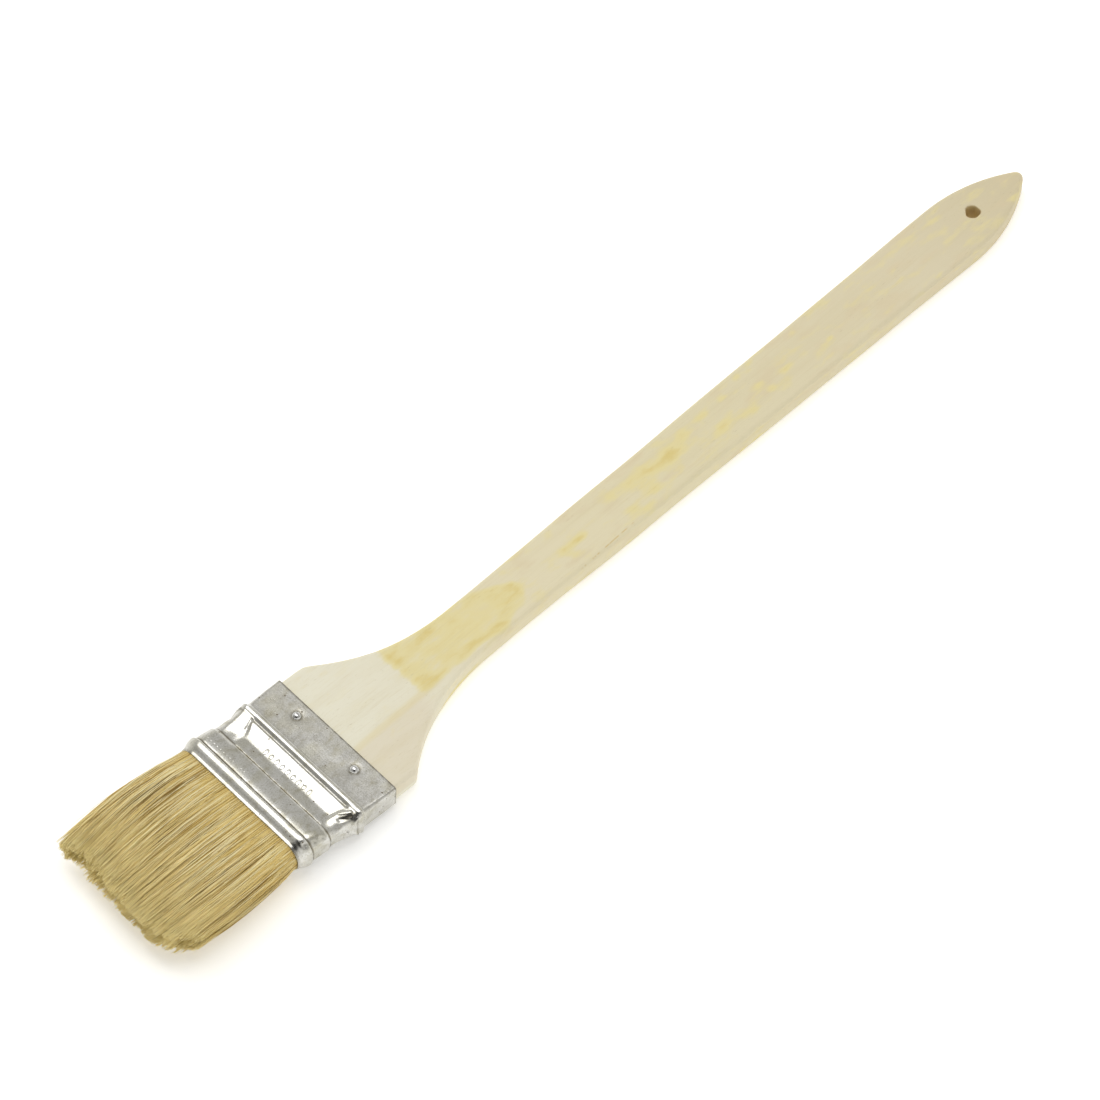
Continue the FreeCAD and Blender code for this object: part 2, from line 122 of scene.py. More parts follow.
def waviness(seed: int, reach: float, *coords: Array) -> Array:
    """Soft unevenness: the mean of nine sine waves in random directions.

    Args:
        seed: picks the waves.
        reach: the typical wavelength, in the coordinates' unit.
        coords: one array for each direction of space.

    Returns:
        Values between about -1 and 1.
    """
    draw = np.random.default_rng(seed)
    waves = 9
    total = np.zeros(np.broadcast(*coords).shape)
    for _ in range(waves):
        heading = draw.normal(size=len(coords))
        heading *= math.tau / (reach * draw.uniform(0.7, 1.6) * np.linalg.norm(heading))
        total += np.sin(sum(k * c for k, c in zip(heading, coords)) + draw.uniform(0, math.tau))
    return total / math.sqrt(waves)


def steps_between(*stops: tuple[float, int]) -> Array:
    """Places along a run, evenly spaced between stops.

    Args:
        stops: pairs of place and number of steps from there to the next stop.

    Returns:
        The places, each once, ending at the last stop.
    """
    runs = [np.linspace(start[0], after[0], start[1], endpoint=False)
            for start, after in zip(stops[:-1], stops[1:])]
    return np.concatenate(runs + [np.array([stops[-1][0]])])


# ------------------------------------------------------------------ meshes

def quads_between(index: Array, close_rows: bool = False, close_columns: bool = False) -> Array:
    """Corner numbers of the quads of a table of vertex numbers.

    Args:
        index: vertex numbers, one row for each row of the surface.
        close_rows: joins the last row to the first.
        close_columns: joins the last column to the first.

    Returns:
        One row of four corners for each quad.
    """
    if close_rows:
        index = np.concatenate([index, index[:1]])
    if close_columns:
        index = np.concatenate([index, index[:, :1]], axis=1)
    corners = [index[:-1, :-1], index[:-1, 1:], index[1:, 1:], index[1:, :-1]]
    return np.stack(corners, axis=-1).reshape(-1, 4)


def numbered(rows: int, columns: int, first: int = 0) -> Array:
    """Table of vertex numbers that counts along each row, from a first number."""
    return first + np.arange(rows * columns).reshape(rows, columns)


def fan(ring: Array, centre: int) -> Array:
    """Triangles from a closed ring of vertex numbers to a centre vertex."""
    return np.stack([ring, np.roll(ring, -1), np.full(len(ring), centre)], axis=-1)


def capped_tube(index: Array) -> list[Array]:
    """Faces of a closed tube, whose two end centres are the next two vertex numbers."""
    centre = int(index[-1, -1]) + 1
    return [quads_between(index, close_columns=True), fan(index[0], centre),
            fan(index[-1], centre + 1)]


def square_to(normal: Array) -> tuple[Array, Array]:
    """Two unit directions in the plane square to a normal.

    Args:
        normal: the way that a face points, in the head's own measures.

    Returns:
        The direction along the head, and the one across it.
    """
    ahead = np.cross([0.0, 1.0, 0.0], normal)
    ahead /= np.linalg.norm(ahead)
    return ahead, np.cross(normal, ahead)


def tint(piece: bpy.types.Object, name: str, shades: Array) -> None:
    """Stores four shares for each vertex as a colour attribute that the finish reads."""
    layer = piece.data.color_attributes.new(name=name, type="FLOAT_COLOR", domain="POINT")
    layer.data.foreach_set("color", shades.astype(np.float32).ravel())


def mesh_object(name: str, points: Array, faces: list[Array],
                tidy: bool = True) -> bpy.types.Object:
    """Object with a smooth-shaded mesh, in the model's frame.

    Args:
        name: the object's name.
        points: vertices in millimetres.
        faces: arrays of corner numbers, each with three or four columns.
        tidy: turns the faces of a closed shape to point outwards.

    Returns:
        The new object, linked to the scene, with its place in its mesh.
    """
    mesh = bpy.data.meshes.new(name)
    corners = np.concatenate([part.ravel() for part in faces]).astype(np.int32)
    counts = np.concatenate([np.full(len(part), part.shape[1]) for part in faces])
    starts = np.concatenate([[0], np.cumsum(counts)[:-1]]).astype(np.int32)
    mesh.vertices.add(len(points))
    mesh.vertices.foreach_set("co", (np.asarray(points) * MM).astype(np.float32).ravel())
    mesh.loops.add(len(corners))
    mesh.loops.foreach_set("vertex_index", corners)
    mesh.polygons.add(len(starts))
    mesh.polygons.foreach_set("loop_start", starts)
    mesh.update(calc_edges=True)
    if tidy:
        shell = bmesh.new()
        shell.from_mesh(mesh)
        bmesh.ops.recalc_face_normals(shell, faces=shell.faces[:])
        shell.to_mesh(mesh)
        shell.free()
    mesh.validate()
    mesh.shade_smooth()
    piece = bpy.data.objects.new(name, mesh)
    bpy.context.scene.collection.objects.link(piece)
    return piece


@dataclass(frozen=True)
class RingSteps:
    """How many steps each stretch of a rounded rectangle gets, all the way round."""

    face: int
    corner: int
    side: int

    def walk(self) -> tuple[Array, Array, Array]:
        """Goes round from the +Y end of the front face.

        A point of a rounded rectangle is its corner centre, which the first two arrays scale,
        plus the corner radius in the direction of the third.

        Returns:
            The share of the half width, the share of the half thickness, and the direction
            that the outline faces, in radians from +Y towards +Z.
        """
        quarter = math.pi / 2
        stretches = [
            ((1, 1), (-1, 1), 1, 1, self.face), ((-1, 1), (-1, 1), 1, 2, self.corner),
            ((-1, 1), (-1, -1), 2, 2, self.side), ((-1, -1), (-1, -1), 2, 3, self.corner),
            ((-1, -1), (1, -1), 3, 3, self.face), ((1, -1), (1, -1), 3, 4, self.corner),
            ((1, -1), (1, 1), 4, 4, self.side), ((1, 1), (1, 1), 4, 5, self.corner)]
        wide, thick, turn = [], [], []
        for start, finish, turn_from, turn_to, count in stretches:
            part = np.arange(count) / count
            wide.append(start[0] + (finish[0] - start[0]) * part)
            thick.append(start[1] + (finish[1] - start[1]) * part)
            turn.append(quarter * (turn_from + (turn_to - turn_from) * part))
        return np.concatenate(wide), np.concatenate(thick), np.concatenate(turn)


@dataclass(frozen=True)
class HeadPlace:
    """Where the head's own measures lie in the model's frame.

    A point of the head is given by its distance past the ferrule's top edge, across to +Y,
    and above the head's middle plane, which is tilted up about the bend in the handle.
    """

    bend_x: float = 73.0
    middle_height: float = 3.8
    lift: float = math.radians(4.5)
    bend_to_ferrule: float = 30.0

    def place(self, along: Array, across: Array, height: Array) -> Array:
        """Turns the head's measures into points of the model's frame.

        Args:
            along: distances past the ferrule's top edge.
            across: distances to +Y.
            height: heights above the head's middle plane.

        Returns:
            Points in millimetres, with the axes last.
        """
        run = self.bend_to_ferrule + along
        x = self.bend_x + run * math.cos(self.lift) - height * math.sin(self.lift)
        z = self.middle_height + run * math.sin(self.lift) + height * math.cos(self.lift)
        return np.stack(np.broadcast_arrays(x, across, z), axis=-1)

    def spot(self, along: float, across: float, height: float) -> Vector:
        """One point of the head in the model's frame, in metres."""
        return Vector(self.place(np.array(along), across, height) * MM)


HEAD = HeadPlace()


# ------------------------------------------------------------------ finishes

def add_node(tree: bpy.types.NodeTree, kind: str, feeds: dict | None = None,
             stops: list[tuple[float, str]] | None = None,
             **settings: object) -> bpy.types.Node:
    """Adds a node with its settings and links.

    Args:
        tree: the material's node tree.
        kind: Blender's name for the node.
        feeds: for each input, by name or number, its value or the socket that feeds it.
        stops: a colour ramp's places and hex colours.
        settings: the node's own properties.

    Returns:
        The new node.
    """
    node = tree.nodes.new(kind)
    for name, value in settings.items():
        setattr(node, name, value)
    for key, value in (feeds or {}).items():
        if isinstance(value, bpy.types.NodeSocket):
            tree.links.new(value, node.inputs[key])
        else:
            node.inputs[key].default_value = value
    if stops:
        ramp = node.color_ramp
        while len(ramp.elements) < len(stops):
            ramp.elements.new(1.0)
        for element, (place, colour) in zip(ramp.elements, stops):
            element.position = place
            element.color = linear(colour)
    return node


def start_material(name: str) -> tuple[bpy.types.Material, bpy.types.NodeTree, bpy.types.Node]:
    """Starts a material.

    Args:
        name: the material's name.

    Returns:
        The material, its node tree and its Principled shader.
    """
    material = bpy.data.materials.new(name)
    material.use_nodes = True
    tree = material.node_tree
    return material, tree, tree.nodes["Principled BSDF"]


def per_mm(length: float) -> float:
    """Texture scale, on coordinates in metres, of a pattern that repeats at a length in mm."""
    return 1.0 / (length * MM)


def stretched_noise(tree: bpy.types.NodeTree, place: bpy.types.NodeSocket,
                    size: tuple[float, float, float], detail: float) -> bpy.types.NodeSocket:
    """Noise whose blotches have a real size in mm along X, Y and Z.

    Args:
        tree: the material's node tree.
        place: the socket with the coordinates in metres.
        size: the blotches' size along each axis, in mm.
        detail: how many finer layers the noise has.

    Returns:
        The noise value's socket, between 0 and 1.
    """
    scaled = add_node(tree, "ShaderNodeMapping",
                      {"Vector": place, "Scale": tuple(per_mm(length) for length in size)})
    noise = add_node(tree, "ShaderNodeTexNoise",
                     {"Vector": scaled.outputs[0], "Scale": 1.0, "Detail": detail})
    return noise.outputs[0]


def blend_colours(tree: bpy.types.NodeTree, factor: object, low: object,
                  high: object) -> bpy.types.NodeSocket:
    """Mixes two colours, each a socket or a linear colour.

    Args:
        tree: the material's node tree.
        factor: how much of the second colour, as a number or a socket.
        low: the first colour.
        high: the second colour.

    Returns:
        The mixed colour's socket.
    """
    mix = add_node(tree, "ShaderNodeMix", {0: factor, 6: low, 7: high},
                   data_type="RGBA", blend_type="MIX")
    return mix.outputs[2]


def remap(tree: bpy.types.NodeTree, value: bpy.types.NodeSocket, source: tuple[float, float],
          target: tuple[float, float] = (0.0, 1.0)) -> bpy.types.NodeSocket:
    """Maps one range of a value onto another, smoothly and held at its ends.

    Args:
        tree: the material's node tree.
        value: the socket to map.
        source: the range it comes from.
        target: the range it goes to.

    Returns:
        The mapped value's socket.
    """
    mapped = add_node(tree, "ShaderNodeMapRange",
                      {0: value, 1: source[0], 2: source[1], 3: target[0], 4: target[1]},
                      interpolation_type="SMOOTHSTEP")
    return mapped.outputs[0]


def reckon(tree: bpy.types.NodeTree, how: str, *terms: object) -> bpy.types.NodeSocket:
    """One sum on one, two or three values or sockets."""
    return add_node(tree, "ShaderNodeMath", dict(enumerate(terms)), operation=how).outputs[0]


@dataclass(frozen=True)
class SandedWood:
    """Bare light hardwood such as birch or poplar, bleached and sanded but not varnished.

    It looks pale cream and matt, a little browner towards the hand, with fine grain along the
    handle, short darker pores, yellow mineral stains and one hairline check.
    """

    shades: tuple[tuple[float, str], ...] = (
        (0.0, "EBE7D3"), (0.09, "E9E4CE"), (0.20, "E6DCBC"), (0.5, "E2D8B5"), (0.82, "DED3B4"),
        (1.0, "D3C6A4"))
    pale_end: float = 105.0
    dark_end: float = -190.0
    stain: str = "E7DAA0"
    deep_stain: str = "DECA82"
    grain_dark: str = "CFC093"
    pore_dark: str = "A89666"
    flushed: str = "DDCDA9"
    pink: str = "E2D8C0"
    hole_dark: str = "D2B46E"
    seam: tuple[tuple[float, float], ...] = ((66.0, 7.0), (104.0, 8.8))
    seam_half_width: float = 1.9
    check: tuple[tuple[float, float], ...] = ((-12.0, 8.0), (13.0, 8.8))
    check_half_width: float = 0.30
    line_fade: float = 3.0

    def streak(self, tree: bpy.types.NodeTree, axes: bpy.types.Node, start: tuple[float, float],
               end: tuple[float, float], half_width: float) -> bpy.types.NodeSocket:
        """Mask of a straight line on the board's faces that fades out at its ends.

        Args:
            tree: the material's node tree.
            axes: the node that gives X and Y in metres.
            start: X and Y of one end in mm, at the lower X.
            end: X and Y of the other end in mm.
            half_width: half the line's width in mm.

        Returns:
            The mask's socket, 1 on the line.
        """
        slope = (end[1] - start[1]) / (end[0] - start[0])
        line = reckon(tree, "MULTIPLY_ADD", axes.outputs["X"], slope,
                      (start[1] - slope * start[0]) * MM)
        away = reckon(tree, "ABSOLUTE", reckon(tree, "SUBTRACT", axes.outputs["Y"], line))
        mask = remap(tree, away, (half_width * MM, 0.2 * half_width * MM))
        fade_in = remap(tree, axes.outputs["X"],
                        (start[0] * MM, (start[0] + self.line_fade) * MM))
        fade_out = remap(tree, axes.outputs["X"], (end[0] * MM, (end[0] - self.line_fade) * MM))
        return reckon(tree, "MULTIPLY", mask, reckon(tree, "MULTIPLY", fade_in, fade_out))

    def make(self) -> bpy.types.Material:
        """Builds the material on object coordinates and the handle's own stain attribute.

        From the base upwards: the bleached wood that turns browner to the hand, the pinker
        strip, flushed and yellowed clouds, broad bands of grain, the stains with a ragged
        edge, the sallow seam and the hairline check, fine grain, pores and the hole's shadow.

        Returns:
            The material.
        """
        material, tree, shader = start_material("sanded_bleached_wood")
        place = add_node(tree, "ShaderNodeTexCoord").outputs["Object"]
        axes = add_node(tree, "ShaderNodeSeparateXYZ", {0: place})
        marks = add_node(tree, "ShaderNodeAttribute", attribute_name="stain")
        parts = add_node(tree, "ShaderNodeSeparateColor", {0: marks.outputs["Color"]})
        towards_end = add_node(tree, "ShaderNodeMapRange", {
            0: axes.outputs["X"], 1: self.pale_end * MM, 2: self.dark_end * MM})
        base = add_node(tree, "ShaderNodeValToRGB", {0: towards_end.outputs[0]},
                        stops=list(self.shades))
        colour = base.outputs[0]
        colour = blend_colours(tree, reckon(tree, "MULTIPLY", parts.outputs[2], 0.75), colour,
                               linear(self.pink))

        mottled = remap(tree, towards_end.outputs[0], (0.06, 0.24), (0.15, 1.0))
        cloudy = stretched_noise(tree, place, (13.0, 4.5, 4.5), 3.0)
        flush = reckon(tree, "MULTIPLY", mottled, remap(tree, cloudy, (0.48, 0.70), (0.0, 0.50)))
        colour = blend_colours(tree, flush, colour, linear(self.flushed))
        sallow = stretched_noise(tree, place, (8.0, 3.2, 3.2), 3.0)
        yellowed = reckon(tree, "MULTIPLY", mottled,
                          remap(tree, sallow, (0.52, 0.72), (0.0, 0.55)))
        colour = blend_colours(tree, yellowed, colour, linear(self.stain))
        bands = remap(tree, stretched_noise(tree, place, (160.0, 3.6, 3.6), 2.0), (0.45, 0.70))
        colour = blend_colours(tree, reckon(tree, "MULTIPLY", bands, 0.12), colour,
                               linear(self.grain_dark))
        ragged = stretched_noise(tree, place, (5.5, 2.4, 2.8), 5.0)
        uneven = reckon(tree, "MULTIPLY_ADD", ragged, 1.2, -0.60)
        stained = reckon(tree, "ADD", parts.outputs[0], uneven)
        colour = blend_colours(tree, remap(tree, stained, (0.10, 0.66), (0.0, 0.88)), colour,
                               linear(self.stain))
        colour = blend_colours(tree, remap(tree, stained, (0.58, 1.15), (0.0, 0.85)), colour,
                               linear(self.deep_stain))
        seam = self.streak(tree, axes, *self.seam, self.seam_half_width)
        colour = blend_colours(tree, reckon(tree, "MULTIPLY", seam, reckon(
            tree, "MULTIPLY", cloudy, 0.6)), colour, linear(self.deep_stain))
        check = self.streak(tree, axes, *self.check, self.check_half_width)
        broken = remap(tree, stretched_noise(tree, place, (2.0, 6.0, 6.0), 2.0), (0.40, 0.55))
        colour = blend_colours(tree, reckon(tree, "MULTIPLY", check, reckon(
            tree, "MULTIPLY", broken, 0.6)), colour, linear(self.hole_dark))

        fine = stretched_noise(tree, place, (24.0, 0.42, 0.42), 3.0)
        colour = blend_colours(tree, remap(tree, fine, (0.50, 0.80), (0.0, 0.22)), colour,
                               linear(self.grain_dark))
        pores = stretched_noise(tree, place, (2.2, 0.20, 0.20), 1.0)
        patchy = remap(tree, stretched_noise(tree, place, (22.0, 5.0, 5.0), 1.0), (0.40, 0.62))
        dotted = reckon(tree, "MULTIPLY", remap(tree, pores, (0.66, 0.78), (0.0, 0.40)), patchy)
        colour = blend_colours(tree, dotted, colour, linear(self.pore_dark))
        colour = blend_colours(tree, parts.outputs[1], colour, linear(self.hole_dark))

        relief = reckon(tree, "MULTIPLY_ADD", pores, -0.6, fine)
        bump = add_node(tree, "ShaderNodeBump", {"Strength": 0.30, "Distance": 0.00012,
                                                 "Height": relief})
        tree.links.new(colour, shader.inputs["Base Color"])
        tree.links.new(remap(tree, fine, (0.2, 0.8), (0.55, 0.72)), shader.inputs["Roughness"])
        tree.links.new(bump.outputs[0], shader.inputs["Normal"])
        shader.inputs["Specular IOR Level"].default_value = 0.3
        return material


@dataclass(frozen=True)
class DulledTinplate:
    """Thin steel sheet with a bright tin coat, pressed and handled.

    It mirrors softly, with blurred smudges, the fine crystal grain of the tin, a slightly
    yellow cast, drawn scuffs and pinprick rust where the coat has broken.
    """

    bright: str = "DCDBD6"
    smudged: str = "CCCABF"
    # Colour of grime, also used for the painted shade in the creases, round the nail heads and in
    # a corner dent.
    grime_and_crease_shade: str = "5A5034"
    grain: str = "A8A597"
    olive: str = "A39C7F"
    rust: str = "5A4A30"
    rust_spacing: float = 1.5
    rust_radius: float = 0.30

    def rust_dots(self, tree: bpy.types.NodeTree,
                  place: bpy.types.NodeSocket) -> bpy.types.NodeSocket:
        """Mask of small round specks, one in about a third of the cells of a scatter.

        Args:
            tree: the material's node tree.
            place: the socket with the coordinates in metres.

        Returns:
            The mask's socket, 1 in a speck.
        """
        cells = add_node(tree, "ShaderNodeTexVoronoi",
                         {"Vector": place, "Scale": per_mm(self.rust_spacing)})
        choice = add_node(tree, "ShaderNodeSeparateColor", {0: cells.outputs["Color"]})
        reach = self.rust_radius / self.rust_spacing
        size = remap(tree, choice.outputs[0], (0.62, 1.0), (0.0, reach))
        inside = reckon(tree, "SUBTRACT", size, cells.outputs["Distance"])
        return remap(tree, inside, (-0.01, 0.03))

    def make(self) -> bpy.types.Material:
        """Builds the material on object coordinates and the ferrule's own attribute of grime and
        painted crease shade.

        Returns:
            The material.
        """
        material, tree, shader = start_material("dulled_tinplate")
        place = add_node(tree, "ShaderNodeTexCoord").outputs["Object"]
        smudge = stretched_noise(tree, place, (8.0, 5.0, 5.0), 4.0)
        colour = blend_colours(tree, remap(tree, smudge, (0.38, 0.66)), linear(self.bright),
                               linear(self.smudged))
        crystal = stretched_noise(tree, place, (0.42, 0.42, 0.42), 3.0)
        colour = blend_colours(tree, remap(tree, crystal, (0.46, 0.72), (0.0, 0.55)), colour,
                               linear(self.grain))
        tarnish = stretched_noise(tree, place, (3.0, 2.2, 2.2), 3.0)
        colour = blend_colours(tree, remap(tree, tarnish, (0.52, 0.74), (0.0, 0.40)), colour,
                               linear(self.olive))
        # Darkens the creases, edges, nail rings and a corner dent: painted shade, with real grime
        # and dullness.
        creases = add_node(tree, "ShaderNodeAttribute", attribute_name="grime_and_crease_shade")
        caught_grime_and_shade = reckon(tree, "MULTIPLY", creases.outputs["Fac"],
                        remap(tree, tarnish, (0.25, 0.6), (0.45, 1.0)))
        colour = blend_colours(tree, caught_grime_and_shade, colour, linear(self.grime_and_crease_shade))
        rusty = self.rust_dots(tree, place)
        colour = blend_colours(tree, reckon(tree, "MULTIPLY", rusty, 0.85), colour,
                               linear(self.rust))
        scuff = stretched_noise(tree, place, (0.5, 7.0, 2.0), 4.0)
        roughness = reckon(tree, "ADD", remap(tree, smudge, (0.25, 0.75), (0.16, 0.24)),
                           reckon(tree, "MULTIPLY", scuff, 0.07))
        roughness = reckon(tree, "MULTIPLY_ADD", rusty, 0.35, roughness)
        relief = reckon(tree, "MULTIPLY_ADD", crystal, 0.5, scuff)
        bump = add_node(tree, "ShaderNodeBump", {"Strength": 0.09, "Distance": 0.0001,
                                                 "Height": relief})
        tree.links.new(colour, shader.inputs["Base Color"])
        tree.links.new(roughness, shader.inputs["Roughness"])
        tree.links.new(reckon(tree, "MULTIPLY_ADD", rusty, -0.7, 1.0), shader.inputs["Metallic"])
        tree.links.new(bump.outputs[0], shader.inputs["Normal"])
        return material


@dataclass(frozen=True)
class BrightNailSteel:
    """Cold-headed wire nail, bare and bright, with the faint marks of its forming die."""

    steel: str = "DADAD8"
    dull: str = "969490"

    def make(self) -> bpy.types.Material:
        """Builds the material on object coordinates.

        Returns:
            The material.
        """
        material, tree, shader = start_material("bright_nail_steel")
        place = add_node(tree, "ShaderNodeTexCoord").outputs["Object"]
        marks = stretched_noise(tree, place, (0.7, 0.7, 0.7), 3.0)
        colour = blend_colours(tree, remap(tree, marks, (0.45, 0.75)), linear(self.steel),
                               linear(self.dull))
        tree.links.new(colour, shader.inputs["Base Color"])
        tree.links.new(remap(tree, marks, (0.3, 0.7), (0.05, 0.14)), shader.inputs["Roughness"])
        shader.inputs["Metallic"].default_value = 1.0
        return material


@dataclass(frozen=True)
class BlondBristle:
    """Natural hog bristle, boiled and straightened.

    Each bristle has its own shade of blond, a soft gloss along it, a warmer root that is
    darker near the mouth as painted shade, and a pale, split tip.
    """

    root: str = "D6B768"
    blond: str = "EFD688"
    straw: str = "FDF2C2"
    brown: str = "96722E"
    tip: str = "FFEBA4"
    split_end: str = "FFF0B0"
    # Dark colour of the painted shade for bristle that lies inside.
    inside: str = "4A3A1C"

    def make(self, name: str, depth: float = 0.0) -> bpy.types.Material:
        """Builds the material on the strands' own attribute.

        Args:
            name: the material's name.
            depth: how much darker the whole is, as painted shade for bristle that lies inside.

        Returns:
            The material.
        """
        material, tree, shader = start_material(name)
        strand = add_node(tree, "ShaderNodeAttribute", attribute_name="strand")
        parts = add_node(tree, "ShaderNodeSeparateColor", {0: strand.outputs["Color"]})
        tone, along, lock = parts.outputs[0], parts.outputs[1], parts.outputs[2]
        ramp = add_node(tree, "ShaderNodeValToRGB", {0: tone}, stops=[
            (0.0, self.brown), (0.32, self.root), (0.55, self.blond), (1.0, self.straw)])
        colour = blend_colours(tree, remap(tree, lock, (0.75, 0.15), (0.0, 0.45)),
                               ramp.outputs[0], linear(self.root))
        # Darker root colour near the mouth: a warmer root, and painted shade where the ferrule
        # shades the bristle.
        colour = blend_colours(tree, remap(tree, along, (0.20, 0.08), (0.0, 0.55)), colour,
                               linear(self.root))
        paler = reckon(tree, "MULTIPLY", remap(tree, along, (0.42, 0.90), (0.0, 0.80)),
                       remap(tree, tone, (0.05, 0.40), (0.25, 1.0)))
        colour = blend_colours(tree, paler, colour, linear(self.tip))
        colour = blend_colours(tree, remap(tree, along, (0.90, 1.0), (0.0, 0.60)), colour,
                               linear(self.split_end))
        # Darkens the whole towards the inside colour: painted shade.
        colour = blend_colours(tree, depth, colour, linear(self.inside))
        tree.links.new(colour, shader.inputs["Base Color"])
        tree.links.new(remap(tree, tone, (0.0, 1.0), (0.50, 0.36)), shader.inputs["Roughness"])
        shader.inputs["Specular IOR Level"].default_value = 0.4
        return material


@dataclass(frozen=True)
class HiddenFill:
    """Plain finish of a piece inside the ferrule, such as cast resin or sawn strip."""

    name: str
    light: str
    dark: str
    grain: tuple[float, float, float]
    roughness: float

    def make(self) -> bpy.types.Material:
        """Builds a two-tone material with the piece's own grain.

        Returns:
            The material.
        """
        material, tree, shader = start_material(self.name)
        place = add_node(tree, "ShaderNodeTexCoord").outputs["Object"]
        grain = stretched_noise(tree, place, self.grain, 3.0)
        colour = blend_colours(tree, remap(tree, grain, (0.3, 0.7)), linear(self.light),
                               linear(self.dark))
        bump = add_node(tree, "ShaderNodeBump", {"Strength": 0.3, "Distance": 0.0001,
                                                 "Height": grain})
        tree.links.new(colour, shader.inputs["Base Color"])
        tree.links.new(bump.outputs[0], shader.inputs["Normal"])
        shader.inputs["Roughness"].default_value = self.roughness
        return material


def dress(piece: bpy.types.Object, material: bpy.types.Material) -> None:
    """Gives a new piece its material.

    Args:
        piece: the new piece.
        material: its finish.
    """
    piece.data.materials.clear()
    piece.data.materials.append(material)


# ------------------------------------------------------------------ handle

@dataclass
class Handle:
    """The one-piece board: pointed end with a hanging hole, long grip, waisted neck and head.

    Places along it are measured from its hanging end, as if it were still straight.
    """

    origin_from_end: float = 184.5
    half_thick: float = 3.8
    end_half: float = 1.3
    belly: tuple[float, float] = (30.5, 10.65)
    neck: tuple[float, float] = (235.5, 8.75)
    shoulder_at: float = 278.6
    shoulder_right: float = 25.8
    shoulder_left: float = 23.2
    tongue_end: float = 300.4
    edge_round: float = 1.3
    hole_at: float = 21.5
    hole_radius: float = 2.2
    bend_radius: float = 180.0
    ring: RingSteps = field(default_factory=lambda: RingSteps(face=40, corner=5, side=8))
    hole_steps: int = 12
    blotches: tuple[tuple[float, ...], ...] = (
        (71.4, 5.6, 2.6, 2.2, .40), (51.8, 6.2, 3.2, 1.3, .35), (43.2, 6.8, 2.6, 1.3, .45),
        (30.9, .3, 2.6, 2.4, .30), (38, -3.9, 2.4, 2.2, .25), (59.4, -6.7, 2.6, 1.6, .30),
        (73.2, -7, 2.0, 2.8, .30), (-18.1, -3.6, 4.2, 1.2, .45), (-26, -1.7, 7, 2.0, .62),
        (-35, -1.2, 3.6, 2.0, .72), (-23, 4.1, 3.2, 2.0, .52), (-15.5, 7.3, 2.6, 1.0, .45),
        (-13.5, 4.6, 2.6, 1.2, .45), (-10.9, -3.8, 2.2, 1.2, .45), (-42.4, -3.7, 2.6, 2.0, .60),
        (-53, 2.6, 4, 1.6, .60), (-49.8, -4.5, 2.6, 1.3, .52), (-43.9, 6.4, 3.6, 2.0, .30),
        (-63, 4.3, 3, 1.4, .45), (-72.9, 2.9, 1.7, 1.0, .55), (-71.4, -.6, 2.6, 1.2, .40),
        (-81, .8, 2.6, .9, .50), (-59.6, -5, 1.7, .9, .55), (-68, -7.4, 1.4, .9, .50),
        (-74, -8.3, 1.8, .7, .50), (-98.4, 2.4, 1.0, .6, .50), (-94.9, 4.1, 4, 1.5, .28),
        (-104.6, 6.4, 1.2, .7, .42), (-91.7, -7.2, 1.6, .8, .40), (5.3, 1, 2.6, 1.1, .70),
        (11.1, 1.1, 2.6, 1.2, .62), (9.9, 4.1, 1.7, 1.0, .45), (-138, 9.3, 2.0, .6, .4),
        (-152, -5.8, 2.4, .8, .35), (-177, 5, 3.0, 1.0, .4))
    blotch_spread: float = 1.7
    blotch_strength: float = 1.2
    stain_low: tuple = ((28, 0), (30, -2), (36, -5), (44, -8.2), (52, -9.6), (62, -10.4),
                        (76, -13))
    stain_high: tuple = ((28, 2), (34.6, 6.1), (42.6, 7.9), (51, 7.2), (60, 7.6), (68, 7.5),
                         (76, 7.3))
    stain_strength: float = 0.60
    back_shift: float = 14.0
    half_block: float = 3.2
    lip: float = 0.3
    wall_depths: tuple[float, float] = (2.4, 0.9)
    hole_shadow: tuple[float, ...] = (0, 0, 0, .1, .25, .4, .5, .6)

    def side_edge(self, at: Array, shoulder: float, softness: float) -> Array:
        """Distance from the middle line to one side edge of the board.

        It is an arc that leaves the belly level and ends at the point, a straight taper from
        the belly to the neck, an arc that leaves the neck level and ends at the shoulder, and
        the full width of the head, with the shoulder's corner rubbed soft.

        Args:
            at: places along the board.
            shoulder: the head's half width on this side.
            softness: how far the shoulder's corner is rubbed away.

        Returns:
            The distance at each place.
        """
        belly_at, belly_half = self.belly
        neck_at, neck_half = self.neck
        taper = np.interp(at, [belly_at, neck_at], [belly_half, neck_half])
        drop = belly_half - self.end_half
        tip_radius = (belly_at ** 2 + drop ** 2) / (2 * drop)
        to_belly = np.clip(belly_at - at, 0, None)
        point = tip_radius - np.sqrt(tip_radius ** 2 - to_belly ** 2)
        rise = shoulder - neck_half
        reach = self.shoulder_at - neck_at
        neck_radius = (reach ** 2 + rise ** 2) / (2 * rise)
        from_neck = np.clip(at - neck_at, 0, neck_radius)
        flare = neck_radius - np.sqrt(neck_radius ** 2 - from_neck ** 2)
        outline = taper - point + flare
        return 0.5 * (outline + shoulder - np.sqrt((outline - shoulder) ** 2 + softness ** 2))

    def bend(self, at: Array, across: Array, height: Array) -> Array:
        """Bends the straight board up at the head, along an arc of its middle line.

        Args:
            at: places along the straight board.
            across: distances to +Y.
            height: heights above the middle line.

        Returns:
            Points of the model's frame in millimetres, one row each.
        """
        lift = HEAD.lift
        half_run = self.bend_radius * math.tan(lift / 2)
        start = HEAD.bend_x - half_run
        x = at - self.origin_from_end
        turn = np.clip((x - start) / self.bend_radius, 0.0, lift)
        beyond = np.clip(x - start - self.bend_radius * lift, 0.0, None)
        before = np.clip(x - start, None, 0.0)
        reach = self.bend_radius - height
        bent_x = start + before + reach * np.sin(turn) + beyond * math.cos(lift)
        bent_z = (self.half_thick + self.bend_radius - reach * np.cos(turn)
                  + beyond * math.sin(lift))
        return np.stack([bent_x, across, bent_z], axis=-1)

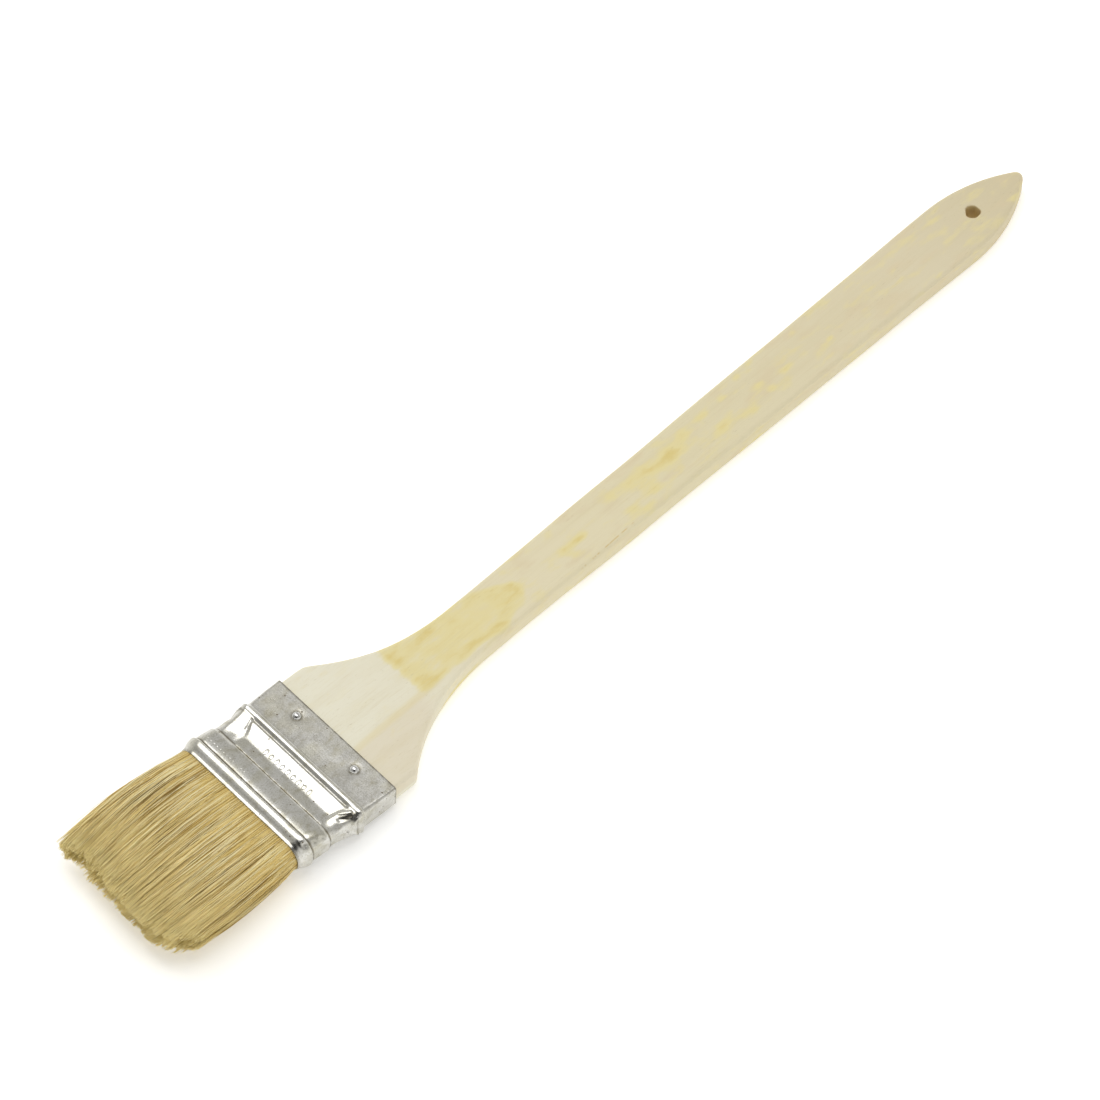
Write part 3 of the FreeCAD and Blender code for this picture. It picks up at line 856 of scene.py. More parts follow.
    def sections(self) -> tuple[Array, Array, Array]:
        """Carries a rounded rectangle along the board.

        Each row is one section: its corner centres plus the edge rounding. The hanging end
        and both faces' edges are rounded over, and a little uneven.

        Returns:
            Places of the rows, points as an array of row, column and axis, and the middle
            points of the first and last section.
        """
        at = steps_between((0.0, 5), (0.6, 5), (2.4, 22),
                           (self.hole_at - self.half_block, self.hole_steps),
                           (self.hole_at + self.half_block, 12), (40.0, 190), (230.0, 60),
                           (282.0, 14), (self.tongue_end, 0))
        right = self.side_edge(at, self.shoulder_right, 0.35) + 0.10 * waviness(3, 60.0, at)
        left = self.side_edge(at, self.shoulder_left, 0.9) + 0.10 * waviness(4, 60.0, at)
        blunt = self.edge_round - np.sqrt(np.clip(
            self.edge_round ** 2 - np.clip(self.edge_round - at, 0, None) ** 2, 0, None))
        half_wide = ((right + left) / 2 - 0.75 * blunt)[:, None]
        middle = ((right - left) / 2)[:, None]
        half_thick = (self.half_thick - blunt)[:, None]
        rounding = np.minimum(self.edge_round * (1 + 0.12 * waviness(5, 45.0, at))[:, None],
                              0.9 * half_wide)
        share_wide, share_thick, turn = self.ring.walk()
        across = middle + share_wide * (half_wide - rounding) + rounding * np.cos(turn)
        height = share_thick * (half_thick - rounding) + rounding * np.sin(turn)
        along = np.broadcast_to(at[:, None], across.shape)
        height = height + 0.03 * waviness(6, 38.0, along, across) * np.sin(turn)
        ends = np.array([[at[0], middle[0, 0], 0.0], [at[-1], middle[-1, 0], 0.0]])
        return at, np.stack([along, across, height], axis=-1), ends

    def hole_blocks(self, at: Array, index: Array, points: Array) -> tuple[list[Array], Array]:
        """Marks a square block of the grid round the hole on the front, and one on the back.

        Args:
            at: places of the rows.
            index: the grid's vertex numbers.
            points: the grid's points, one row each.

        Returns:
            Each block's border as vertex numbers in order of their angle about the hole, and
            which quads of the grid stay.
        """
        first_row = int(np.searchsorted(at, self.hole_at - self.half_block - 1e-6))
        last_row = first_row + self.hole_steps
        half_columns = self.hole_steps // 2
        front_middle = self.ring.face // 2
        back_middle = self.ring.face + 2 * self.ring.corner + self.ring.side + front_middle
        keep = np.ones((index.shape[0] - 1, index.shape[1]), bool)
        borders = []
        for middle_column in (front_middle, back_middle):
            low, high = middle_column - half_columns, middle_column + half_columns
            keep[first_row:last_row, low:high] = False
            block = index[first_row:last_row + 1, low:high + 1]
            loop = np.concatenate([block[0, :-1], block[:-1, -1], block[-1, :0:-1],
                                   block[:0:-1, 0]])
            angle = np.arctan2(points[loop, 1], points[loop, 0] - self.hole_at)
            borders.append(loop[np.argsort(angle)])
        return borders, keep

    def hole_rings(self, top: Array, base: Array) -> list[Array]:
        """Rings of points from the front block's border down the hole to the back one's.

        On each face two rings lead in over the face, four go round the lip on a quarter arc,
        and two stand in the wall. The hole's reach is its radius with three and five waves.

        Args:
            top: points of the front block's border.
            base: points of the back block's border.

        Returns:
            The rings in order, each with one point for each point of a border.
        """
        angle = np.arctan2(top[:, 1], top[:, 0] - self.hole_at)
        ragged = self.hole_radius * (1.06 + 0.05 * np.sin(3 * angle + 0.6)
                                     + 0.035 * np.sin(5 * angle + 2.0))
        rim = np.stack([self.hole_at + ragged * np.cos(angle), ragged * np.sin(angle)], axis=-1)
        outward = np.stack([np.cos(angle), np.sin(angle)], axis=-1)
        rings = []
        for border, sign in ((top, 1.0), (base, -1.0)):
            level = border[:, 2]
            stages = [np.column_stack([border[:, :2] * (1 - part)
                                       + (rim + self.lip * outward) * part, level])
                      for part in (0.35, 0.7)]
            stages += [np.column_stack([rim + self.lip * (1 - math.sin(bow)) * outward,
                                        level - sign * self.lip * (1 - math.cos(bow))])
                       for bow in np.linspace(0, math.pi / 2, 4)]
            wall = [np.column_stack([rim, np.full(len(rim), sign * depth)])
                    for depth in self.wall_depths]
            rings.append(stages + wall)
        return rings[0] + rings[1][::-1]

    def build(self) -> bpy.types.Object:
        """Closes the board's sections at both ends, and opens the hole through them.

        The grid's square block round the hole is left out on both faces, and rings of points
        lead from one block's border through the hole to the other's.

        Returns:
            The wooden handle, with its stain.
        """
        at, grid, ends = self.sections()
        rows, columns = grid.shape[:2]
        index = numbered(rows, columns)
        surface = grid.reshape(-1, 3)
        (front, back), keep = self.hole_blocks(at, index, surface)
        chain = self.hole_rings(surface[front], surface[back])
        extra = numbered(len(chain), len(front), index.size)
        flat = np.concatenate([surface, *chain, ends])
        centre = index.size + extra.size
        faces = [quads_between(index, close_columns=True).reshape(rows - 1, columns, 4)[keep],
                 quads_between(np.vstack([front, extra, back]), close_columns=True),
                 fan(index[0], centre), fan(index[-1], centre + 1)]
        piece = mesh_object("wooden_handle", self.bend(flat[:, 0], flat[:, 1], flat[:, 2]), faces)
        in_hole = np.zeros(len(flat))
        shadow = np.array(self.hole_shadow + self.hole_shadow[::-1])
        in_hole[index.size:centre] = np.repeat(shadow, extra.shape[1])
        self.paint(piece, flat, in_hole)
        return piece

    def paint(self, piece: bpy.types.Object, flat: Array, in_hole: Array) -> None:
        """Gives each vertex its share of yellow stain, of hole shadow and of pinker wood.

        The main stain fills a band between two flowing curves at the neck. Each blotch is a
        bell curve of the distance from its middle, over its own half length and half width,
        both drawn wider by the common spread.
        The other face has the same marks, turned over and moved along.

        Args:
            piece: the handle.
            flat: its points while the board is straight.
            in_hole: how deep in the hole each point is, from 0 to 1.
        """
        front = flat[:, 2] > -1.0
        x = flat[:, 0] - self.origin_from_end - np.where(front, 0.0, self.back_shift)
        y = np.where(front, flat[:, 1], 2.0 - flat[:, 1])
        low = flowing_curve(x, self.stain_low)
        high = flowing_curve(x, self.stain_high)
        band = (ease(y - low, -1.2, 1.2) * ease(high - y, -1.2, 1.2)
                * ease(x, 26.5, 31.0) * ease(-x, -76.4, -73.4))
        stain = self.stain_strength * band
        for mid_x, mid_y, half_x, half_y, strength in self.blotches:
            away = ((x - mid_x) / half_x) ** 2 + ((y - mid_y) / half_y) ** 2
            stain = stain + self.blotch_strength * strength * np.exp(-(away / self.blotch_spread))
        pinker = ease(y - 7.2 - 0.062 * (x - 75), -1.0, 1.5) * ease(x, 70.0, 80.0)
        shades = np.stack([np.clip(stain, 0, 1), in_hole, pinker, np.ones(len(x))], axis=-1)
        tint(piece, "stain", shades)


# ------------------------------------------------------------------ ferrule

@dataclass(frozen=True)
class Fold:
    """A crease or ridge pressed into the sheet, along a line between two places.

    A place is the distance from the top edge, and across from the ferrule's middle on a
    face, or above the middle plane on a narrow side.
    """

    start: tuple[float, float]
    end: tuple[float, float]
    width: float
    rise: float

    def lift(self, along: Array, sideways: Array) -> Array:
        """Height of the fold: a bell curve of the distance to its line, times its rise.

        Args:
            along: distances from the ferrule's top edge.
            sideways: places across a face, or up a narrow side.

        Returns:
            How far each point is lifted.
        """
        run = np.array(self.end) - np.array(self.start)
        part = ((along - self.start[0]) * run[0] + (sideways - self.start[1]) * run[1])
        part = np.clip(part / max(float(run @ run), 1e-9), 0.0, 1.0)
        away = np.hypot(along - self.start[0] - part * run[0],
                        sideways - self.start[1] - part * run[1])
        return self.rise * np.exp(-(away / self.width) ** 2)


@dataclass
class Ferrule:
    """The pressed tinplate band, from its top edge round the wood to its rim at the bristle."""

    length: float = 36.0
    sheet: float = 0.4
    ring: RingSteps = field(default_factory=lambda: RingSteps(face=148, corner=14, side=26))
    face_knots: tuple = (
        (0, 4.30), (6, 4.45), (11.6, 4.62), (12.0, 4.72), (12.5, 5.10), (12.9, 5.52), (13.2, 5.64),
        (13.8, 5.54), (14.2, 5.30), (14.7, 4.96), (15.0, 4.88), (15.25, 4.95), (15.55, 5.04),
        (15.9, 5.00), (16.4, 4.90), (19.8, 4.42), (20.4, 4.40), (24.2, 5.02), (24.5, 5.00),
        (24.8, 5.16), (25.2, 5.34), (30.4, 6.02), (31.0, 6.00), (31.3, 6.34), (31.7, 6.86),
        (32.1, 7.05), (32.6, 7.04), (33.3, 6.90), (34.0, 6.62), (34.8, 6.18), (35.4, 5.94),
        (36.0, 5.84))
    corner_knots: tuple = (
        (0, 4.30), (6, 4.45), (11.6, 4.62), (12.0, 4.72), (12.5, 5.12), (12.9, 5.58), (13.2, 5.70),
        (13.9, 5.62), (14.5, 5.40), (15.5, 5.26), (20.0, 4.96), (23.6, 4.74), (24.3, 4.80),
        (25.0, 5.10), (25.7, 5.40), (30.4, 6.02), (31.0, 6.00), (31.3, 6.34), (31.7, 6.86),
        (32.1, 7.05), (32.6, 7.04), (33.3, 6.90), (34.0, 6.62), (34.8, 6.18), (35.4, 5.94),
        (36.0, 5.84))
    width_knots: tuple = (
        (0, 25.1), (12.2, 25.15), (13.2, 25.75), (14.0, 25.6), (15.3, 25.25), (19.0, 24.95),
        (22.5, 24.75), (24.2, 24.9), (25.2, 25.35), (30.8, 25.5), (31.8, 25.95), (33.2, 25.9),
        (34.8, 25.4), (36, 25.15))
    round_knots: tuple = (
        (0, 0.9), (5, 1.2), (12, 2.0), (13.9, 2.3), (15.5, 2.5), (19.8, 3.2), (23.8, 3.4),
        (25.2, 3.6), (31, 4.8), (33.4, 5.6), (36, 5.4))
    middle_knots: tuple = ((0, 1.3), (15, 1.3), (20, 0.9), (24, 0.4), (31, -0.2), (36, -0.4))
    panel_left: tuple = ((15.4, 19.6), (20.0, 16.6), (24.6, 16.0))
    panel_right: tuple = ((15.4, 20.6), (20.0, 20.0), (24.6, 21.3))
    nail_at: float = 4.5
    front_gap: float = 12.3
    back_gap: float = 15.5
    dullness: float = 0.09
    upper_dullness: float = 0.12
    face_folds: tuple[Fold, ...] = (
        Fold((15.2, -19.6), (18.6, -17.8), 0.42, 0.30),
        Fold((19.0, -20.6), (21.6, -19.4), 1.6, -0.20),
        Fold((15.4, 22.6), (18.2, 20.8), 0.45, 0.30),
        Fold((16.6, 24.0), (19.2, 22.4), 0.75, -0.34),
        Fold((19.4, 23.2), (22.0, 22.6), 1.3, -0.16),
        Fold((26.6, 24.6), (26.9, 24.4), 0.62, -0.55),
        Fold((29.2, 24.4), (29.6, 24.2), 0.50, -0.45),
        Fold((32.0, 24.0), (32.8, 23.8), 0.62, -0.55),
        Fold((20.5, -9.0), (23.5, -2.0), 1.2, -0.04),
        Fold((8.0, 6.0), (6.0, 12.0), 2.2, -0.04))
    side_folds: tuple[Fold, ...] = (
        Fold((14.8, 4.4), (18.8, 0.8), 0.45, 0.55), Fold((18.8, 0.8), (15.0, -3.6), 0.45, 0.50),
        Fold((15.4, 1.8), (16.8, 0.6), 0.8, -0.20), Fold((20.5, 3.4), (24.6, 1.0), 0.7, 0.22))
    # Dark lines along the creases and both edges, each a place, width and strength: painted shade,
    # with some grime.
    creases: tuple[tuple[float, float, float], ...] = (
        (15.0, 0.26, 0.50), (24.45, 0.28, 0.85), (30.95, 0.28, 0.75), (0.0, 0.30, 0.60),
        (36.0, 0.45, 0.45))

    def near_nails(self, along: Array, across: Array, out_up: Array) -> list[tuple[Array, Array]]:
        """Distance from each of the four nails' middles, and whether that face has the nail."""
        gaps = ((self.front_gap, 1.0), (self.back_gap, -1.0))
        return [(np.hypot(along - self.nail_at, across - side * gap), out_up * facing > 0.5)
                for gap, facing in gaps for side in (-1, 1)]

    def in_panel(self, along: Array, across: Array) -> Array:
        """Share of the panel: 1 between its slanted ends, easing to 0 past them.

        Args:
            along: distances from the ferrule's top edge.
            across: places across, from the ferrule's middle.

        Returns:
            The share at each place.
        """
        left_end = flowing_curve(along, self.panel_left)
        right_end = flowing_curve(along, self.panel_right)
        return ease(across + left_end, -0.9, 0.9) * ease(right_end - across, -0.9, 0.9)

    def grime_and_crease_shade(self, along: Array, across: Array, out_up: Array) -> Array:
        """Share of darkening in the creases, along the edges, round the nail heads and in a corner
        dent: painted shade there, with real grime.

        Each crease is a bell curve of the distance from it, and each nail's ring a bell curve
        of the distance from the rim of its head. The whole sheet is a little dull, and the
        part above the bead is duller. A corner dent beside the panel holds a patch of painted
        shade.

        Args:
            along: distances from the ferrule's top edge.
            across: places across the ferrule.
            out_up: how far the sheet there faces up or down, from 1 to -1.

        Returns:
            The share at each point, from 0 to 1.
        """
        dirt_and_shade = np.zeros(across.shape)
        for at, width, strength in self.creases:
            dirt_and_shade = dirt_and_shade + strength * np.exp(-((along - at) / width) ** 2)
        dirt_and_shade = dirt_and_shade + self.dullness + self.upper_dullness * ease(-along, -11.9, -11.2)
        # Dark ring round each nail head: painted shade.
        for away, has_nail in self.near_nails(along, across, out_up):
            dirt_and_shade = dirt_and_shade + 0.55 * np.exp(-((away - 1.7) / 0.28) ** 2) * has_nail
        # Dark patch in the dent beside the panel: painted shade.
        dent = np.exp(-((along - 17.0) / 1.3) ** 2 - ((across - 23.2) / 0.9) ** 2)
        return np.clip(dirt_and_shade + 0.55 * (dent * (out_up > 0.2)), 0.0, 1.0)

    def skin(self, at: Array, inset: Array) -> tuple[Array, Array]:
        """Points of the sheet at distances from the top edge, set in from its outer face.

        The body is a rounded rectangle whose half width, half thickness, corner radius and
        middle are flowing curves of the distance. It is then moved along its own normal: in
        by the panel between its slanted ends, by each fold, by the dent round each nail and
        by a slight unevenness, and out at the lap seam on the left narrow side.

        Args:
            at: distances from the top edge, one for each row.
            inset: how far each row is set in.

        Returns:
            Points of the model's frame in millimetres, one row for each distance, and their
            share of grime and painted shade.
        """
        along = at[:, None]
        half_wide = flowing_curve(along, self.width_knots)
        half_thick = flowing_curve(along, self.corner_knots)
        rounding = flowing_curve(along, self.round_knots)
        share_wide, share_thick, turn = self.ring.walk()
        out_across, out_up = np.cos(turn), np.sin(turn)
        across = share_wide * (half_wide - rounding) + rounding * out_across
        height = share_thick * (half_thick - rounding) + rounding * out_up

        sunk = ((flowing_curve(along, self.face_knots) - half_thick)
                * self.in_panel(along, across) * out_up ** 2)
        on_face = ease(np.abs(out_up), 0.25, 0.9)
        on_side = ease(np.abs(out_across), 0.6, 0.95)
        moved = sunk
        for crease in self.face_folds:
            moved = moved + crease.lift(along, across) * np.maximum(on_face, 0.4)
        for crease in self.side_folds:
            moved = moved + crease.lift(along, height) * on_side
        for away, has_nail in self.near_nails(along, across, out_up):
            moved = moved - 0.16 * np.exp(-(away / 1.9) ** 2) * has_nail
        lap = ease(-height, -0.75, -0.45) * ease(height, -3.4, -0.8) * (out_across < -0.7)
        moved = moved + 0.34 * lap
        moved = moved + 0.030 * waviness(21, 16.0, along, across, height)
        moved = moved + 0.003 * waviness(22, 4.0, along, across, height)
        moved = moved - inset[:, None]
        middle = flowing_curve(along, self.middle_knots)
        dirt_and_shade = self.grime_and_crease_shade(along, across, out_up) * (inset[:, None] < 0.5 * self.sheet)
        spots = HEAD.place(along, middle + across + moved * out_across, height + moved * out_up)
        return spots, dirt_and_shade

    def build(self) -> bpy.types.Object:
        """Runs down the outside, round the lip, back up the inside and round the top edge.

        Returns:
            The sheet as one closed piece, with its grime and painted crease shade.
        """
        outside = steps_between((0.0, 3), (0.6, 4), (2.4, 16), (6.6, 8), (11.4, 36), (16.2, 11),
                                (19.4, 6), (20.6, 8), (23.6, 16), (25.6, 12), (30.4, 26),
                                (33.6, 12), (self.length, 0))
        inside = steps_between((self.length, 10), (30.0, 16), (0.0, 0))
        bow = np.linspace(0, math.pi, 7)[1:-1]
        half = self.sheet / 2
        at = np.concatenate([outside, self.length + half * np.sin(bow), inside,
                             -half * np.sin(bow)])
        inset = np.concatenate([np.zeros(len(outside)), half - half * np.cos(bow),
                                np.full(len(inside), self.sheet), half + half * np.cos(bow)])
        points, dirt_and_shade = self.skin(at, inset)
        index = numbered(*points.shape[:2])
        faces = [quads_between(index, close_rows=True, close_columns=True)]
        piece = mesh_object("tinplate_ferrule", points.reshape(-1, 3), faces)
        # Stores the grime and the painted shade for the finish.
        layer = piece.data.attributes.new(name="grime_and_crease_shade", type="FLOAT", domain="POINT")
        layer.data.foreach_set("value", dirt_and_shade.astype(np.float32).ravel())
        return piece

    def face_spot(self, at: float, across: float, front: bool) -> tuple[Array, Array]:
        """A point of the pressed face and its outward normal, in the head's own measures.

        Args:
            at: distance from the ferrule's top edge.
            across: place across, from the ferrule's middle.
            front: the front face, or the back one.

        Returns:
            The point and the normal.
        """
        sign = 1.0 if front else -1.0
        step = 0.1
        near = np.array([at, at + step, at])
        sideways = np.array([across, across, across + step])
        corner = flowing_curve(near, self.corner_knots)
        sunk = (flowing_curve(near, self.face_knots) - corner) * self.in_panel(near, sideways)
        level = corner + sunk
        slope_along = (level[1] - level[0]) / step
        slope_across = (level[2] - level[0]) / step
        normal = np.array([-slope_along, -slope_across, 1.0]) * np.array([1.0, 1.0, sign])
        middle = float(flowing_curve(near[:1], self.middle_knots)[0])
        spot = np.array([at, across + middle, sign * level[0]])
        return spot, normal / np.linalg.norm(normal)


def domes(spots: list[tuple[Array, Array, float, float, float]], around: int = 14,
          rings: int = 5, sunk: float = 0.12) -> tuple[Array, list[Array]]:
    """Small closed caps that stand on a face, such as pressed dots.

    Each cap is half an ellipsoid: a ring's reach is its half length and half width times the
    cosine, and its height the rise times the sine, of an angle from the rim to the top.

    Args:
        spots: for each cap its point, its normal, its half length along the head, its half
            width across, and its rise.
        around: points in a ring.
        rings: rings from rim to top.
        sunk: how far the closed base lies under the face.

    Returns:
        Points in the head's own measures, and faces.
    """
    bow = np.linspace(0, math.pi / 2, rings + 1)[:-1]
    spin = np.arange(around) * math.tau / around
    points, faces, count = [], [], 0
    for spot, normal, half_long, half_wide, rise in spots:
        ahead, sideways = square_to(normal)
        reach = np.concatenate([[1.0], np.cos(bow)])
        level = np.concatenate([[-sunk], rise * np.sin(bow)])
        cap = (spot + (half_long * reach)[:, None, None] * np.cos(spin)[None, :, None] * ahead
               + (half_wide * reach)[:, None, None] * np.sin(spin)[None, :, None] * sideways
               + level[:, None, None] * normal)
        index = numbered(cap.shape[0], around, count)
        points += [cap.reshape(-1, 3), (spot - sunk * normal)[None], (spot + rise * normal)[None]]
        faces += capped_tube(index)
        count += index.size + 2
    return np.concatenate(points), faces


@dataclass
class PressedMarks:
    """The raised marks on the front: a row of plain pips in the panel and a line of dots."""

    ferrule: Ferrule
    pip_count: int = 9
    pip_from: float = -8.6
    pip_step: float = 2.3
    pip_at: float = 19.3
    pip_size: tuple[float, float, float] = (1.25, 0.72, 0.20)
    pip_shorter: float = 0.25
    dot_count: int = 11
    dot_from: float = -21.6
    dot_step: float = 1.35
    dot_at: float = 29.0
    dot_size: tuple[float, float, float] = (0.30, 0.30, 0.17)
    dot_gap_after: int = 8
    dot_gap: float = 2.0

    def build(self) -> bpy.types.Object:
        """Stands each mark square to the pressed face.

        Every second pip is a little shorter, and the line of dots has a gap near its end.

        Returns:
            All the marks as one piece.
        """
        spots = []
        for number in range(self.pip_count):
            spot, normal = self.ferrule.face_spot(
                self.pip_at, self.pip_from + number * self.pip_step, front=True)
            long, wide, rise = self.pip_size
            spots.append((spot, normal, long - self.pip_shorter * (number % 2), wide, rise))
        for number in range(self.dot_count):
            skipped = self.dot_gap * (number > self.dot_gap_after)
            across = self.dot_from + number * self.dot_step + skipped
            spot, normal = self.ferrule.face_spot(self.dot_at, across, front=True)
            spots.append((spot, normal, *self.dot_size))
        points, faces = domes(spots)
        placed = HEAD.place(points[:, 0], points[:, 1], points[:, 2])
        return mesh_object("pressed_marks", placed, faces)


@dataclass
class Nail:
    """A domed nail driven square through the sheet into the wood."""

    node: str
    front: bool
    ferrule: Ferrule
    head_radius: float = 1.5
    rise: float = 1.0
    shank_radius: float = 0.6
    length: float = 5.1
    around: int = 36

    def build(self) -> bpy.types.Object:
        """Turns the nail's outline about its axis: dome, rim, shank and point.

        The dome is part of a ball, whose radius follows from the head's radius and rise.

        Returns:
            The nail as one closed piece.
        """
        low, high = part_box(self.node)
        across = (low.y + high.y) / 2 / MM
        at = self.ferrule.nail_at
        middle = float(flowing_curve(np.array([at]), self.ferrule.middle_knots)[0])
        spot, normal = self.ferrule.face_spot(at, across - middle, self.front)
        dome = (self.head_radius ** 2 + self.rise ** 2) / (2 * self.rise)
        bow = np.linspace(0.0, math.asin(self.head_radius / dome), 11)[1:]
        radius = np.concatenate([dome * np.sin(bow),
                                 [self.head_radius + 0.03, self.head_radius - 0.1],
                                 [self.shank_radius, self.shank_radius]])
        level = np.concatenate([self.rise - dome * (1 - np.cos(bow)), [-0.08, -0.16],
                                [-0.2, -self.length + self.shank_radius]])
        spin = np.arange(self.around) * math.tau / self.around
        ahead, sideways = square_to(normal)
        rings = (spot + radius[:, None, None] * (np.cos(spin)[None, :, None] * ahead
                                                 + np.sin(spin)[None, :, None] * sideways)
                 + level[:, None, None] * normal)
        points = np.concatenate([rings.reshape(-1, 3), (spot + self.rise * normal)[None],
                                 (spot - self.length * normal)[None]])
        placed = HEAD.place(points[:, 0], points[:, 1], points[:, 2])
        faces = capped_tube(numbered(rings.shape[0], self.around))
        return mesh_object(self.node + "_domed", placed, faces)


# ------------------------------------------------------------------ bristle

class Tuft(Enum):
    """Which part of the fill a piece of bristle is, and the node that it stands for."""

    FRONT = "front_bristles"
    BACK = "back_bristles"
    LEFT_EDGE = "left_edge_bristles"
    RIGHT_EDGE = "right_edge_bristles"


@dataclass(frozen=True)
class Bundles:
    """How the bristles of one piece are gathered: bristles in tufts, and tufts in locks.

    The number of its tuft and the middle of its lock are given for each bristle. All else,
    from the place across to the tone, is given for each tuft.
    """

    tuft: Array
    lock_middle: Array
    across: Array
    up: Array
    lean: Array
    sink: Array
    longer: Array
    tone: Array


@dataclass
class Bristle:
    """The fill: thousands of tapered bristles in tufts and locks, from inside the mouth out.

    Places along it are distances from the ferrule's top edge.
    """

    root_at: float = 30.5
    mouth_at: float = 36.0
    longest: float = 81.8
    edge_from: float = 18.6
    sides: int = 3
    root_thick: float = 0.12
    tip_thick: float = 0.075
    droop: float = -1.5
    width_knots: tuple = ((30, 24.2), (36, 24.45), (41, 25.2), (58, 25.7), (70, 25.1), (82, 24.1))
    thick_knots: tuple = ((30, 5.1), (36, 5.20), (39, 5.75), (44, 6.1), (54, 6.1), (62, 5.8),
                          (72, 5.0), (82, 3.7))
    round_knots: tuple = ((30, 4.6), (36, 5.0), (52, 4.8), (82, 3.8))
    middle_knots: tuple = ((30, -0.2), (36, -0.4), (58, -0.8), (82, -1.2))
    end_knots: tuple = ((-25.5, 81.2), (-23, 80.8), (-21, 79.2), (-15, 79.8), (-4.5, 81.0),
                        (7, 81.2), (13.8, 81.4), (17, 80.2), (19, 78.9), (23.6, 76.0),
                        (25.5, 73.2))
    half_width: float = 25.0
    half_depth: float = 5.5
    rings: int = 8
    per_tuft: int = 13
    face_locks: int = 13
    edge_locks: int = 3
    tuft_pull: float = 0.72
    tip_release: float = 0.22
    lock_pull: float = 0.10
    dark_below: float = 0.12
    light_above: float = 0.88
    light_lift: float = 0.22
    light_stouter: float = 0.3
    short_share: float = 0.30
    stray_share: float = 0.012

    def envelope(self, at: Array, share_across: Array, share_up: Array) -> tuple[Array, Array]:
        """Place in the fill's outline at a distance, from shares of its width and thickness.

        The thickness falls off at the narrow sides, where the outline is a corner arc.

        Args:
            at: distances from the ferrule's top edge.
            share_across: shares of the half width.
            share_up: shares of the half thickness.

        Returns:
            The place across and the height, in mm.
        """
        half_wide = flowing_curve(at, self.width_knots)
        half_thick = flowing_curve(at, self.thick_knots)
        rounding = flowing_curve(at, self.round_knots)
        across = share_across * half_wide
        into_corner = np.clip(np.abs(across) - (half_wide - rounding), 0.0, rounding)
        reach = half_thick - rounding + np.sqrt(rounding ** 2 - into_corner ** 2)
        return across, share_up * reach

    def roots(self, part: Tuft, count: int, draw: np.random.Generator) -> tuple[Array, Array]:
        """Where each bristle stands, as shares of the fill's width and thickness.

        Most stand near the outside, where they are seen, and the rest anywhere inside.

        Args:
            part: which part of the fill.
            count: how many bristles.
            draw: the random numbers to draw from.

        Returns:
            The shares across and up, one for each bristle.
        """
        edge_share = self.edge_from / self.half_width
        outer = draw.random(count) < 0.62
        near = 1.0 - 0.30 * draw.random(count) ** 1.4
        anywhere = draw.random(count)
        if part in (Tuft.FRONT, Tuft.BACK):
            across = draw.uniform(-edge_share, edge_share, count)
            up = np.where(outer, near, anywhere)
            return across, up if part is Tuft.FRONT else -up
        side = 1.0 if part is Tuft.RIGHT_EDGE else -1.0
        across = edge_share + (1.0 - edge_share) * draw.random(count) ** 0.8
        up = np.where(outer, near, anywhere) * np.where(draw.random(count) < 0.5, 1.0, -1.0)
        return side * across, up

    def gather(self, part: Tuft, across: Array, up: Array,
               draw: np.random.Generator) -> Bundles:
        """Puts each bristle in its nearest tuft, and each tuft in its nearest lock.

        Args:
            part: which part of the fill.
            across: each bristle's share of the half width.
            up: each bristle's share of the half thickness.
            draw: the random numbers to draw from.

        Returns:
            The tufts and locks, with how each leans, sinks, ends and is toned.
        """
        count = len(across) // self.per_tuft
        tuft_across, tuft_up = self.roots(part, count, draw)
        gap = (((across[:, None] - tuft_across) * self.half_width) ** 2
               + ((up[:, None] - tuft_up) * self.half_depth) ** 2)
        mine = np.argmin(gap, axis=1)
        locks = self.face_locks if part in (Tuft.FRONT, Tuft.BACK) else self.edge_locks
        span = np.sort(draw.uniform(tuft_across.min(), tuft_across.max(), locks))
        lock = np.argmin(np.abs(tuft_across[:, None] - span), axis=1)
        lock_lean = draw.normal(0, 0.50, locks)
        lock_longer = draw.normal(0, 0.75, locks)
        lock_tone = draw.normal(0, 1, locks)
        return Bundles(
            tuft=mine, lock_middle=span[lock[mine]], across=tuft_across, up=tuft_up,
            lean=draw.normal(0, 0.42, count) + lock_lean[lock],
            sink=-np.abs(draw.normal(0, 0.55, count)),
            longer=draw.normal(0, 0.85, count) + lock_longer[lock],
            tone=draw.normal(0, 1, count) + 0.6 * lock_tone[lock])

    def paths(self, part: Tuft, count: int, seed: int) -> tuple[Array, Array, Array]:
        """The line of each bristle.

        A bristle follows the fill's outline at its own share of the width and thickness. It
        is drawn towards its tuft, and its tuft towards its lock, the more the nearer the
        tip, so that dark gaps open between them, and tufts spread a little again at the very
        tips. Tufts sink, rise and lean a little. The lightest bristles lie on top, some are
        cut short, and a few go astray.

        Args:
            part: which part of the fill.
            count: how many bristles.
            seed: picks the random numbers.

        Returns:
            Points in the head's measures as an array of bristle, ring and axis, the share
            along each bristle, and the two tones of each bristle.
        """
        draw = np.random.default_rng(seed)
        across, up = self.roots(part, count, draw)
        odd = draw.random(count)
        light = odd > self.light_above
        bundles = self.gather(part, across, up, draw)
        mine = bundles.tuft

        share = (np.linspace(0, 1, self.rings) ** 0.92)[None, :]
        end = flowing_curve(across * self.half_width, self.end_knots) + bundles.longer[mine]
        end = end - np.abs(draw.normal(0, 0.55, count))
        short = draw.random(count) < self.short_share
        end = np.where(short, end - draw.uniform(0.8, 9.0, count), end)
        end = np.minimum(end, self.longest)
        at = self.root_at + (end - self.root_at)[:, None] * share
        free = np.clip((at - self.mouth_at) / (self.longest - self.mouth_at), 0, 1)

